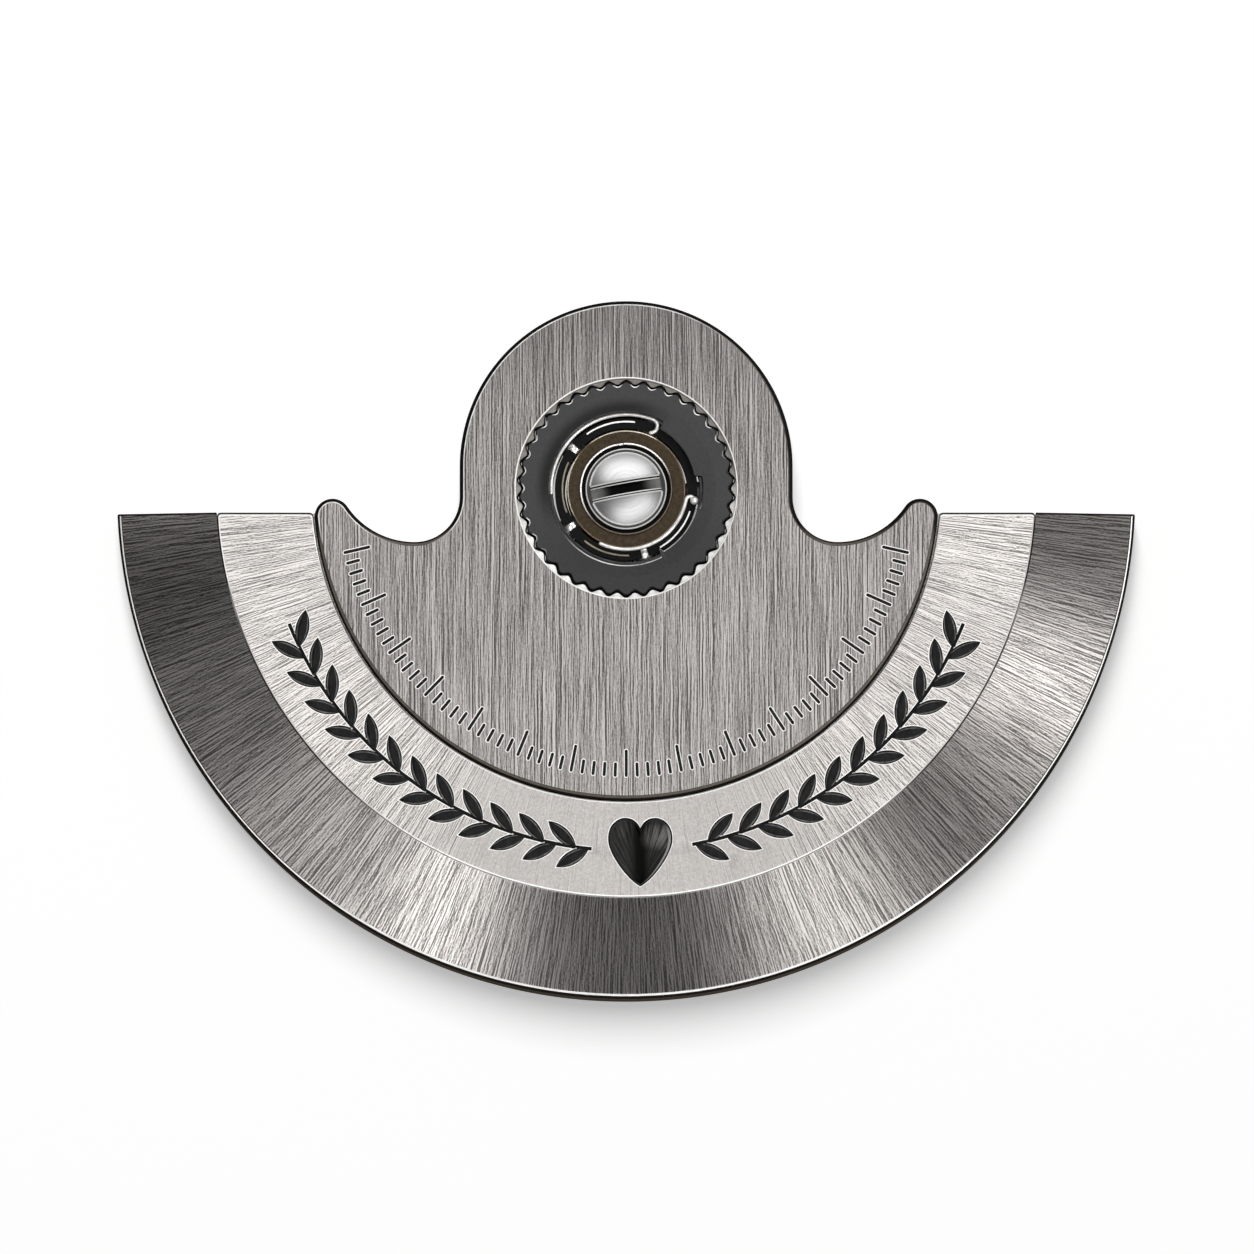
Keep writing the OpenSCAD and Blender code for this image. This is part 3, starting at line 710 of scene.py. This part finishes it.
def make_plate():
    shape = Shape(plate_steel)
    # How far each step of the edge lies inwards, and its height
    edge = [(inset, PLATE_TOP - drop) for inset, drop in
            ((0.112, 0), (0.088, 0.008), (0.068, 0.018), (0.044, 0.034), (0.014, 0.070), (0, 0.11))]
    edge += [(0, PLATE_Z + 0.02), (0.02, PLATE_Z)]
    # The edge: a painted highlight, then painted shade that is brown over the land
    shape.bands([lift(plate_outline(g), z) for g, z in edge],
                [plate_line, plate_edge, plate_edge] + [edge_shade] * 4)
    hole = [(0, PLATE_Z), (0, RECESS_Z - 0.035), (0.016, RECESS_Z - 0.012), (0.038, RECESS_Z)]
    wall = [(RECESS_R - 0.006, RECESS_Z), (RECESS_R, RECESS_Z + 0.006), (RECESS_R, PLATE_TOP - 0.032),
            (RECESS_R + 0.010, PLATE_TOP - 0.010), (RECESS_R + 0.036, PLATE_TOP)]
    rows = [tooth_row(SPLINE_GAP + g, z) for g, z in hole] + turned(wall, ring_turns)
    # The bore in painted shade, the recess with painted light towards the bottom, its rim with painted
    # highlights
    shape.bands(rows, [edge_shade] * 3 + [recess_steel] * 3 + [edge_highlight] * 2)
    recess = [at(wall[-1][0], t) for t in ring_turns]
    shape.flat([plate_outline(edge[0][0]), recess, *(grown(loop, LIP) for loop in stroke_loops)], PLATE_TOP)
    pocket_walls(shape, stroke_loops, PLATE_TOP, PLATE_TOP - SCALE_T)
    shape.flat([plate_outline(edge[-1][0]), tooth_row(SPLINE_GAP)], PLATE_Z)
    obj = shape.piece("brushed_plate", "rotor", "plate_steel", "carrier_plate")

    def is_upper_side(face):
        spot = face.center / MM
        dark = obj.data.materials[face.material_index] == edge_shade
        return dark and spot.y > -1.0 and spot.xy.length > RECESS_R and spot.z < PLATE_TOP - 0.1
    refinish(obj, cut_steel, is_upper_side)


def make_scale():
    shape = Shape(dark_lacquer)
    for loop in stroke_loops:
        rows = [lift(grown(loop, -inset), PLATE_TOP - drop)
                for inset, drop in ((0.001, SCALE_T), (0.001, 0.024), (0.013, 0.018))]
        shape.grid(rows, closed=True)
        shape.cap(rows[-1])
    shape.piece("scale_strokes", "rotor", "dark_lacquer", "scale_fill")


def bowed(guides, t):
    """A point of a smooth curve drawn by its guide points."""
    last = len(guides) - 1
    shares = [math.comb(last, i) * (1 - t) ** (last - i) * t ** i for i in range(last + 1)]
    return tuple(sum(s * p[k] for s, p in zip(shares, guides)) for k in (0, 1))


def soft_corner(*guides):
    """Four points that round off one corner of an outline."""
    return [bowed(guides, t) for t in (0.0, 0.25, 0.5, 0.75)]


def land_outline(inner, inset):
    """Outline of the land below the straight top edge, moved inwards, with softened corners."""
    soft, drop = 0.09, CHORD_DROP
    if inset:
        drop += inset * 1.8 + 0.018
    loop = []
    for radius, turn in ((LAND_OUT_R - inset, 1), (inner + inset, -1)):
        first, last = (180, 360)[::turn]
        trim = turn * (math.degrees(math.asin(drop / radius)) + math.degrees(soft / radius))
        edge = math.sqrt(radius * radius - drop * drop)
        near = edge - soft * turn
        loop += soft_corner((-turn * near, -drop), (-turn * edge, -drop), at(radius, first + trim))
        loop += arc((0, 0), radius, first + trim, last - trim, 150)
        loop += soft_corner(at(radius, last - trim), (turn * edge, -drop), (turn * near, -drop))
        loop.append((turn * near, -drop))
    return loop


def heart_outline():
    """A heart with its point down, on the middle line of the land."""
    side = [bowed(guides, i / 24) for guides in (HEART_LOBE, HEART_FLANK) for i in range(24)]
    loop = [(-x, y) for x, y in side] + [HEART_FLANK[3]] + side[:0:-1]
    return [(HEART_X + x * HEART_W, HEART_Y + y * HEART_H) for x, y in loop]


def leaves():
    """Start and direction of each leaf of the two sprigs, from the heart outwards."""
    found = []
    for near, far in SPRIGS:
        turn = 1 if far > near else -1
        for i in range(int(abs(far - near) / LEAF_STEP)):
            for side in (-1, 1):
                where = near + turn * (i + (0.1 if side > 0 else 0.5)) * LEAF_STEP
                found.append((at(GARLAND_R, where), where + turn * 90 - turn * side * LEAF_LEAN))
    return found


def leaf_half(along):
    """Half of a leaf's width at a distance from its start."""
    bow = (LEAF_L * LEAF_L / 4 + LEAF_W * LEAF_W / 4) / LEAF_W
    return max(0.0, math.sqrt(bow * bow - (along - LEAF_L / 2) ** 2) - bow + LEAF_W / 2)


def leaf_point(start, turn, along, beside):
    """A point of a leaf, which begins a little behind its start, inside the stem."""
    x, y = rotated(along - 0.02, beside, turn)
    return start[0] + x, start[1] + y


def leaf_outline(start, turn):
    stops = [LEAF_L * i / 14 for i in range(15)]
    lower = [leaf_point(start, turn, a, -leaf_half(a)) for a in stops]
    return lower + [leaf_point(start, turn, a, leaf_half(a)) for a in reversed(stops[1:-1])]


def stem_outline(low, high):
    outer, inner = GARLAND_R + STEM_W / 2, GARLAND_R - STEM_W / 2
    loop = arc((0, 0), outer, low, high, 90) + [at(outer, high)]
    return loop + arc((0, 0), inner, high, low, 90) + [at(inner, low)]


stems = [sorted(sprig) for sprig in SPRIGS]
outlines = [leaf_outline(*leaf) for leaf in leaves()] + [stem_outline(*stem) for stem in stems]
garland_loops = together(outlines)
heart_loop = heart_outline()


def is_cut(face):
    """Whether a face looks along Y, as the cut along the straight top edge does."""
    return face.normal.y > 0.99


def make_land():
    shape = Shape(land_steel)
    edge = [(0.042, LAND_Z), (0.016, LAND_Z - 0.004), (0.006, LAND_Z - 0.014), (0, LAND_Z - 0.040),
            (0, PLATE_Z)]
    # The edge: a painted highlight on the lip, lines in painted shade with a painted highlight towards the
    # bottom, then painted shade
    shape.bands([lift(land_outline(LAND_EDGE_R, inset), z) for inset, z in edge],
                [land_lip, land_line, land_line, edge_shade])
    marks = garland_loops + [heart_loop]
    shape.flat([land_outline(LAND_EDGE_R, edge[0][0])] + [grown(loop, LIP) for loop in marks], LAND_Z)
    pocket_walls(shape, marks, LAND_Z, FILL_Z)
    low, foot = land_outline(LAND_IN_R, 0), land_outline(LAND_IN_R, 0.02)
    shape.grid([lift(low, PLATE_Z), lift(low, LAND_BOTTOM + 0.02), lift(foot, LAND_BOTTOM)], closed=True)
    shape.flat([low, land_outline(LAND_EDGE_R, 0)], PLATE_Z)
    holes = [arc(at(PIN_REACH, 200 + 140 * i / (PIN_COUNT - 1)), PIN_HOLE_R, 0, 360, 32)
             for i in range(PIN_COUNT)]
    shape.flat([foot, *holes], LAND_BOTTOM)
    for hole in holes:
        shape.grid([lift(hole, LAND_BOTTOM), lift(hole, PLATE_Z - 0.02)], closed=True)
    refinish(shape.piece("brushed_land", "rotor", "land_steel", "land_ring"), cut_steel, is_cut)


def make_garland():
    """Domed leaves with a vein and a facet along each side, and their stems."""
    shape = Shape(black_lacquer)
    across = (-1.0, -0.86, -0.66, -0.4, -0.14, 0.0, 0.14, 0.4, 0.66, 0.86, 1.0)
    # One facet on each side of a leaf carries a painted highlight
    finishes = [leaf_facet_highlight if s in (-0.86, 0.66) else black_lacquer for s in across]
    for start, turn in leaves():
        rows = []
        for s in across:
            row = []
            for i in range(17):
                along = LEAF_L * i / 16
                half = leaf_half(along)
                full = min(1.0, half / (LEAF_W / 4))
                rise = (1 - s * s) * 0.05 - 0.018 * math.exp(-(s / 0.12) ** 2)
                row.append((*leaf_point(start, turn, along, s * half), LAND_Z - 0.072 + rise * full))
            rows.append(row)
        shape.bands(rows, finishes, closed=False)
    for low, high in stems:
        profile = [(GARLAND_R + s * STEM_W / 2, LAND_Z - 0.065 + 0.045 * (1 - s * s))
                   for s in (-1.0, -0.7, -0.35, 0.0, 0.35, 0.7, 1.0)]
        shape.grid(turned(profile, [low + (high - low) * i / 150 for i in range(151)]))
    shape.piece("carved_garland", "rotor", "black_lacquer", "garland_fill", sharp=80)


def make_heart():
    """The heart is carved like a valley along its middle line, with a narrow facet along its edge."""
    shape = Shape(heart_lacquer)
    rows = [lift(grown(heart_loop, -inset), LAND_Z - drop)
            for inset, drop in ((0.002, 0.05), (0.012, 0.026), (0.030, 0.018))]
    rim = rows[-1]
    for share, drop in ((0.92, 0.030), (0.76, 0.056), (0.54, 0.084), (0.3, 0.104), (0.12, 0.116),
                        (0.0, 0.118)):
        row = []
        for x, y, z in rim:
            tall = 0.55 + 0.45 * share if y > HEART_Y else 0.9 + 0.1 * share
            row.append((HEART_X + (x - HEART_X) * share, HEART_Y + (y - HEART_Y) * tall, LAND_Z - drop))
        rows.append(row)
    # The outline in painted shade, a painted highlight on the edge facet, and a painted sheen in the valley
    shape.bands(rows, [edge_shade, edge_shade, heart_facet_highlight] + [heart_lacquer] * 5)
    shape.piece("carved_heart", "rotor", "black_lacquer", "heart_fill", sharp=60)


def make_rim():
    """The heavy rim: a turned profile, cut along the straight top edge with softened corners."""
    shape = Shape(heavy_metal)

    def top_at(radius):
        return LAND_Z - (radius - RIM_IN_R) * math.tan(math.radians(RIM_SLOPE))

    brow, heel = top_at(ROTOR_R - 0.112), RIM_UNDER_Z + FOOT_CHAMFER
    foot_r, inner_r = ROTOR_R - FOOT_CHAMFER, RIM_IN_R + 0.010
    profile = [(RIM_IN_R, RIM_UNDER_Z + 0.03), (RIM_IN_R + 0.03, RIM_UNDER_Z), (foot_r - 0.015, RIM_UNDER_Z),
               (foot_r + 0.012, RIM_UNDER_Z + 0.012), (ROTOR_R - 0.010, heel - 0.012),
               (ROTOR_R, heel + 0.015)]
    profile += [(ROTOR_R - inset, brow - drop) for inset, drop in
                ((0, 0.105), (0.012, 0.060), (0.032, 0.032), (0.060, 0.013), (0.090, 0.003), (0.112, 0))]
    profile += [(inner_r, top_at(inner_r)), (RIM_IN_R + 0.003, LAND_Z - 0.008), (RIM_IN_R, LAND_Z - 0.024)]
    # Painted shade under the rim and on its outer edge, a painted highlight on the brow, and painted shade
    # lines with a painted highlight towards the bottom
    finishes = [edge_shade] * 5 + [heavy_side] + [edge_shade] * 3 + [edge_highlight, land_line, heavy_metal]
    finishes += [land_line, land_line, edge_shade]
    # Reach of the softened corners beside the cut, and how much the profile shrinks there
    soft, shrink = 0.050, 0.012
    angles = [math.radians(a) for a in (30, 60, 90)]
    smaller = [grown(profile, -shrink * (1 - math.cos(a))) for a in angles]
    rows = []
    for (r, z), *ends in zip(profile, *smaller):
        lean = math.degrees(math.asin((CHORD_DROP + soft) / r))
        row = [at(r, 180 + lean + (180 - 2 * lean) * i / 240, z) for i in range(241)]
        for (s, w), a in zip(ends, angles):
            y = CHORD_DROP + soft * (1 - math.sin(a))
            x = math.sqrt(s * s - y * y)
            row = [(-x, -y, w), *row, (x, -y, w)]
        rows.append(row)
    shape.bands(rows + rows[:1], finishes, closed=False)
    shape.caps(rows)
    obj = shape.piece("brushed_rim", "rotor", "heavy_metal", "heavy_rim")

    def is_near_cut(face):
        return abs(face.center.y / MM + CHORD_DROP) < soft * 0.9
    # The corners beside the cut get painted shade
    refinish(obj, edge_shade, is_near_cut)
    refinish(obj, cut_steel, lambda face: is_near_cut(face) and is_cut(face))


def opening_r(degrees):
    """Radius of the toothed ring's stepped opening in one direction."""
    found = OPEN_NARROW_R
    for first, last, radius in ((61, 298, OPEN_WIDE_R), (300, 344, OPEN_MID_R), (344, 370, OPEN_NOTCH_R)):
        for turn in (degrees % 360, degrees % 360 + 360):
            share = min(1.0, max(0.0, min(turn - first, last - turn) / 1.4 + 0.5))
            found = max(found, OPEN_NARROW_R + (radius - OPEN_NARROW_R) * share)
    return found


def dish_z(radius):
    """Height of the shallow cone in the ring's top."""
    return RING_TOP - 0.010 - (DISH_R - radius) * 0.09


def make_ring():
    shape = Shape(black_steel)
    rows = turned([(RING_BORE_R, RING_Z), (RING_BORE_R, RACE_TOP)], ring_turns)
    rows.append([at(opening_r(t), t, RACE_TOP) for t in ring_turns])
    for grow, drop in ((0, 0.03), (0.009, 0.009), (0.03, 0)):
        rows.append([at(opening_r(t) + grow, t, dish_z(opening_r(t) + grow) - drop) for t in ring_turns])
    rows += turned([(DISH_R, dish_z(DISH_R)), (SHELF_R, RING_TOP)], ring_turns)
    rows += [tooth_row(grow, z) for grow, z in
             ((-0.040, RING_TOP), (-0.014, RING_TOP - 0.012), (0, RING_TOP - 0.036), (0, RING_Z + 0.02),
              (-0.02, RING_Z))]
    # The bore and the opening's wall in painted shade, painted highlights on the opening's edge and in the
    # teeth's valleys
    shape.bands(rows + rows[:1], [edge_shade] * 3 + [open_edge] * 2 + [black_steel] * 3 + [tooth_edge]
                + [edge_shade] * 4)
    shape.piece("blackened_ring", "rotor", "black_steel", "toothed_ring")


def make_wires():
    """Each spring wire follows an arc and ends in a bend. The second one carries a small ball."""
    hook, bead = Shape(wire_steel), Shape(wire_steel)
    hook_start, bead_start = 183, 245
    wire, height = WIRE_R + 0.008, HOOK_Z + 0.009
    path = arc((0, 0), HOOK_WIRE_R, hook_start, HOOK_AT, 70)
    path += arc(at(HOOK_WIRE_R - HOOK_R, HOOK_AT), HOOK_R, HOOK_AT, HOOK_AT - 165, 24)
    hook.tube(lift(path, height), wire)
    hook.piece("spring_wire_hook", "rotor", "wire_steel", "hook_wire")
    path = arc((0, 0), BEAD_ARC_R, bead_start, BEND_AT, 60)
    path += arc(at(BEAD_ARC_R + BEND_R, BEND_AT), BEND_R, BEND_AT + 180, BEND_AT + 20, 16)
    bead.tube(lift(path, BEAD_Z), wire)
    out, side = at(BEAD_ARC_R + 2 * BEND_R, BEND_AT), at(0.02, BEND_AT + 90)
    bead.ball((out[0] + side[0], out[1] + side[1], BEAD_Z), BEAD_R + 0.01, 28, 16)
    bead.piece("spring_wire_bead", "rotor", "wire_steel", "ball_end_wire")


def section(inner, outer, low, high, rounding=0):
    """The section of a ring, whose upper corners may be rounded."""
    return rounded([(inner, low, 0), (outer, low, 0), (outer, high, rounding), (inner, high, rounding)])


def make_cage():
    """A black cage. Its cover has slots over three balls and bright lips."""
    shape = Shape(cage_black)
    cover, top, lip_top, half_lip = 0.921, 0.933, 0.946, 0.0225
    half_slot, half_pocket = math.degrees(0.085 / PITCH_R), math.degrees(0.33 / PITCH_R)
    rows = turned(section(CAGE_IN_R, CAGE_OUT_R, CAGE_Z, CAGE_FLOOR_Z), circle(96))
    shape.grid(rows + rows[:1], closed=True)
    starts = [BALL_START + i * 360 / BALL_COUNT for i in range(BALL_COUNT + 1)]
    for first, last in zip(starts, starts[1:]):
        block = section(CAGE_IN_R, CAGE_OUT_R, CAGE_FLOOR_Z - 0.02, cover)
        shape.sector(block, first + half_pocket, last - half_pocket)
    for first, last in ((0, 1), (1, 2), (2, 5)):
        lid = section(CAGE_IN_R, CAGE_OUT_R, cover, top)
        shape.sector(lid, starts[first] + half_slot, starts[last] - half_slot, 0.003, 60)
    shape.piece("slotted_cage", "cage", "cage_steel", "ball_cage")
    # Where each lip starts and ends, in degrees, and its radius
    for name, finish, *spans in (
            ("cage_lips_1", wire_steel, (82.5, 125.5, 1.67), (300, 341, 1.655)),
            ("cage_lips_2", brown_lip, (154.5, 201.5, 1.565), (231, 272.5, 1.63))):
        lips = Shape(finish)
        for first, last, radius in spans:
            lip = section(radius - half_lip, radius + half_lip, top - 0.004, lip_top, 0.008)
            lips.sector(lip, first, last, 0.006, 30)
        lips.piece(name, "cage", "cage_steel")


def make_balls():
    for number, turn in enumerate(circle(BALL_COUNT), 1):
        shape = Shape(ball_steel)
        shape.ball(at(PITCH_R, BALL_START + turn, BALL_Z), BALL_R)
        shape.piece(f"ball_{number}_polished", f"ball_{number}", "ball_steel", f"ball_{number}")


def make_core():
    """The sleeve with its notch and a painted highlight on its lip, and the bronze race with a painted
    highlight on its edge.
    """
    sleeve, race = Shape(polished), Shape(bronze)
    inner = SLEEVE_R - SLEEVE_WALL
    # A corner that is rounded makes five points, so five bands start there
    profile = rounded([(BORE_R, 0, 0.02), (SEAT_R, 0, 0.02), (SEAT_R, FLANGE_Z, 0.02),
                       (SLEEVE_R, FLANGE_Z, 0), (SLEEVE_R, SLEEVE_TOP, 0.014), (inner, SLEEVE_TOP, 0.014),
                       (inner, POCKET_FLOOR, 0.02), (BORE_R, POCKET_FLOOR, 0.02)])
    half_key, key_floor = math.degrees(KEY_W / 2 / SLEEVE_R), SLEEVE_TOP - KEY_T
    rows = [[at(r, turn, min(z, key_floor) if abs(turn - KEY_AT) < half_key else z) for turn in circle(240)]
            for r, z in profile]
    # The sleeve's lip with a painted highlight, its pocket in painted shade
    sleeve.bands(rows + rows[:1], [polished] * 16 + [sleeve_line] * 9 + [edge_shade] * 11)
    sleeve.piece("turned_sleeve", "core", "sleeve_steel", "core_sleeve")
    cone = PITCH_R - (BALL_R + 0.01) * math.sqrt(2)
    profile = rounded([(RACE_BORE_R, BALL_Z, 0), (cone, BALL_Z, 0.01),
                       (UPPER_RACE_R, BALL_Z + UPPER_RACE_R - cone, 0.01),
                       (UPPER_RACE_R, UPPER_RACE_TOP, 0.03), (RACE_BORE_R, UPPER_RACE_TOP, 0.01)])
    rows = turned(profile, circle(160))
    race.bands(rows + rows[:1], [bronze] * 11 + [race_line] * 4 + [bronze] * 6)
    race.piece("bronze_race", "core", "bronze", "upper_race")


def dome_z(x, y):
    return HEAD_TOP - DOME_BALL_R + math.sqrt(DOME_BALL_R ** 2 - x * x - y * y)


def make_screw():
    """The screw: threaded end, shank, flange and a domed head with a slot."""
    shape = Shape(screw_steel)
    pitch, depth, around = 0.125, 0.05, 72
    rows = []
    for i in range(61):
        z = -THREAD_L + (THREAD_L + SHANK_LIFT) * i / 60
        taper = max(0.0, 0.06 - (z + THREAD_L))
        cuts = [depth * abs(2 * ((z / pitch - k / around) % 1.0) - 1) for k in range(around)]
        rows.append([at(THREAD_R - cut - taper, turn, z) for cut, turn in zip(cuts, circle(around))])
    shape.finish = flange_steel
    shape.grid(rows, closed=True)
    shape.cap(rows[0])
    neck = [(THREAD_R - depth, SHANK_LIFT), (SHANK_R - 0.02, SHANK_LIFT), (SHANK_R, SHANK_LIFT + 0.02),
            (SHANK_R, POCKET_FLOOR), (FLANGE_R - 0.01, POCKET_FLOOR), (FLANGE_R, POCKET_FLOOR + 0.01),
            (FLANGE_R, FLANGE_TOP - 0.036), (FLANGE_R - 0.010, FLANGE_TOP - 0.010),
            (FLANGE_R - 0.034, FLANGE_TOP), (DOME_R, FLANGE_TOP)]
    # The flange in painted shade where it sits in the pocket, with a painted highlight on its top edge
    shape.bands(turned(neck, circle(144)),
                [flange_steel] * 4 + [edge_shade] * 2 + [edge_highlight] * 2 + [flange_steel])
    floor = HEAD_TOP - SLOT_T
    inner, outer, trim = SLOT_W / 2 - 0.032, SLOT_W / 2 + 0.062, 0.058
    # Distance from the slot's middle line, and how far the surface lies under the dome
    half = [(0.0, None), (inner * 0.6, None), (inner, None), (inner, trim), (inner + 0.027, trim - 0.008),
            (outer - 0.034, 0.006), (outer, 0.0)]
    half += [(outer + (DOME_R - outer) * math.sin(math.pi / 2 * i / 24), 0.0) for i in range(1, 25)]
    # The slot in painted shade, lighter at its ends, with painted shade and painted highlights along its
    # edges
    finishes = [slot_steel] * 2 + [edge_shade, edge_highlight] * 2 + [screw_steel] * 24
    for side in (1, -1):
        rows = []
        for v, drop in half:
            reach = math.sqrt(max(0.0, DOME_R ** 2 - v * v))
            row = []
            for x in (reach * (k / 24 - 1) for k in range(49)):
                z = min(floor, dome_z(x, v) - trim) if drop is None else dome_z(x, v) - drop
                row.append((*rotated(x, side * v, SLOT_TURN), z))
            rows.append(row)
        shape.bands(rows, finishes, closed=False)
    sides = (SLOT_TURN, SLOT_TURN + 180)
    # The dome's cut ends in painted shade, and a painted highlight on its foot
    shape.finish = edge_shade
    for turn in sides:
        turns = [turn - 12.6 + 1.05 * k for k in range(25)]
        shape.grid(turned([(DOME_R, FLANGE_TOP), (DOME_R, 0.985)], turns))
    shape.finish = edge_highlight
    foot = section(DOME_R - 0.010, DOME_R + 0.028, FLANGE_TOP - 0.01, FLANGE_TOP + 0.018, 0.008)
    clear = math.degrees(math.asin(outer / DOME_R))
    for turn in sides:
        shape.sector(foot, turn + clear, turn + 180 - clear, 0.006, 60)
    return shape.piece("slotted_screw", "core", "screw_steel", "rotor_screw")


def dress_cad_nodes():
    """The nodes that stay get a material and softened edges."""
    kept = {"outer_race": race_steel, "lower_race": race_steel, "plate_pins": pin_steel}
    for name, material in kept.items():
        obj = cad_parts[name]
        for slot in obj.material_slots:
            slot.material = material
        weld = obj.modifiers.new("Weld", "WELD")
        weld.merge_threshold = 2 * WELD
        bevel = obj.modifiers.new("Bevel", "BEVEL")
        bevel.width, bevel.segments = 0.015 * MM, 2
        bevel.limit_method, bevel.angle_limit = "ANGLE", math.radians(35)


def make_camera():
    """The photograph's view: from above, leaning a little towards the weight."""
    lens, sensor, lean = 400.0, 36.0, math.radians(5.5)
    # The photograph's side in pixels, and what one of them shows in millimetres
    side, pixel = 1254, 0.02452
    distance = side * pixel * MM * lens / sensor
    camera = bpy.data.cameras.new("photo_camera")
    camera.lens, camera.sensor_width = lens, sensor
    camera.clip_start, camera.clip_end = 0.01, 10.0
    obj = bpy.data.objects.new("photo_camera", camera)
    scene.collection.objects.link(obj)
    target = Vector((0.02, -3.365, 0.65)) * MM
    obj.rotation_euler = (lean, 0, 0)
    obj.location = target + Vector((0, -math.sin(lean), math.cos(lean))) * distance
    scene.camera = obj


def make_world():
    """A dim even studio."""
    world = bpy.data.worlds.new("studio")
    scene.world = world
    graph = Graph(world)
    sky = graph.node("ShaderNodeBackground", [("Strength", BASE_LIGHT)])
    graph.node("ShaderNodeOutputWorld", [(0, sky.outputs[0])])


def make_lamp(name, azimuth, polar, radiance, across, along, lit):
    """A soft lamp that faces the bearing. Its two half widths are angles as the bearing sees them."""
    data = bpy.data.lights.new(name, "AREA")
    is_round = across == along
    data.shape = "ELLIPSE" if is_round else "RECTANGLE"
    data.size, data.size_y = (2 * LAMP_REACH * math.tan(math.radians(a)) for a in (across, along))
    area = data.size * data.size_y * (math.pi / 4 if is_round else 1)
    data.energy = radiance * math.pi * area
    lamp = bpy.data.objects.new(name, data)
    scene.collection.objects.link(lamp)
    lamp.visible_camera = False
    lean = math.radians(polar)
    lamp.location = Vector(at(math.sin(lean), azimuth, math.cos(lean))) * LAMP_REACH
    lamp.rotation_euler = (-lean, 0, math.radians(azimuth - 90))
    lamp.light_linking.receiver_collection = lit


def make_lamps(floor, screw):
    """Small softboxes light the object, two wide ones its screw, and a long one behind it the floor."""
    def linked(name, members, state):
        group = bpy.data.collections.new(name)
        for member in members:
            group.objects.link(member)
        for entry in group.collection_objects:
            entry.light_linking.link_state = state
        return group

    but_floor = linked("all_but_floor", (floor, screw), "EXCLUDE")
    floor_alone = linked("floor_alone", (floor,), "INCLUDE")
    screw_alone = linked("screw_alone", (screw,), "INCLUDE")
    for i, (azimuth, polar, reach, radiance) in enumerate(SOFTBOXES, 1):
        make_lamp(f"softbox_{i}", azimuth, polar, radiance, reach, reach, but_floor)
    for i, (azimuth, polar, across, along, radiance) in enumerate(SCREW_BOXES, 1):
        make_lamp(f"screw_softbox_{i}", azimuth, polar, radiance, across, along, screw_alone)
    make_lamp("floor_softbox", 97, 27, FLOOR_LAMP, 7, 23, floor_alone)


def make_floor():
    """A white floor just under the rim. It keeps the shadow."""
    material = bpy.data.materials.new("white_floor")
    graph = Graph(material)
    path = graph.node("ShaderNodeLightPath").outputs
    seen = graph.math("ADD", path["Is Camera Ray"], path["Is Glossy Ray"])
    seen = graph.math("ADD", seen, path["Is Transmission Ray"])
    matt = graph.node("ShaderNodeBsdfDiffuse", [("Color", rgba(FLOOR_TONE))])
    glow = graph.node("ShaderNodeEmission", [("Strength", graph.times(seen, FLOOR_GLOW))])
    both = graph.node("ShaderNodeAddShader", [(0, matt.outputs[0]), (1, glow.outputs[0])])
    graph.node("ShaderNodeOutputMaterial", [(0, both.outputs[0])])
    reach, height = 2500.0, RIM_UNDER_Z - 0.01
    ring = [Vector(at(reach, turn, height)) * MM for turn in circle(64)]
    mesh = bpy.data.meshes.new("floor")
    mesh.from_pydata(ring, [], [range(len(ring))])
    mesh.materials.append(material)
    floor = bpy.data.objects.new("floor", mesh)
    scene.collection.objects.link(floor)
    return floor


# Light: azimuth, angle from the zenith, half width in degrees and radiance of each softbox on the object
SOFTBOXES = ((0, 0, 9, 6.1), (286, 30, 6, 7.2), (270, 45, 6, 3.2), (4, 45, 6, 15.5), (225, 45, 6, 10.6),
             (315, 45, 5, 40), (48, 58, 5, 10.5), (76, 45, 6, 19), (112, 45, 6, 6.8), (39, 45, 3, 33),
             (150, 58, 6, 6))
# The same for the screw alone, with a half width and a half height
SCREW_BOXES = ((90, 40, 40, 20, 1.9), (294, 38, 36, 16, 1.8))
LAMP_REACH, BASE_LIGHT, FLOOR_LAMP = 0.55, 0.08, 10.5
FLOOR_TONE, FLOOR_GLOW = 0.90, 0.45

make_plate()
make_scale()
make_land()
make_garland()
make_heart()
make_rim()
make_ring()
make_wires()
make_cage()
make_balls()
make_core()
screw = make_screw()
dress_cad_nodes()
make_lamps(make_floor(), screw)
make_world()
make_camera()
scene.view_settings.view_transform = "Standard"
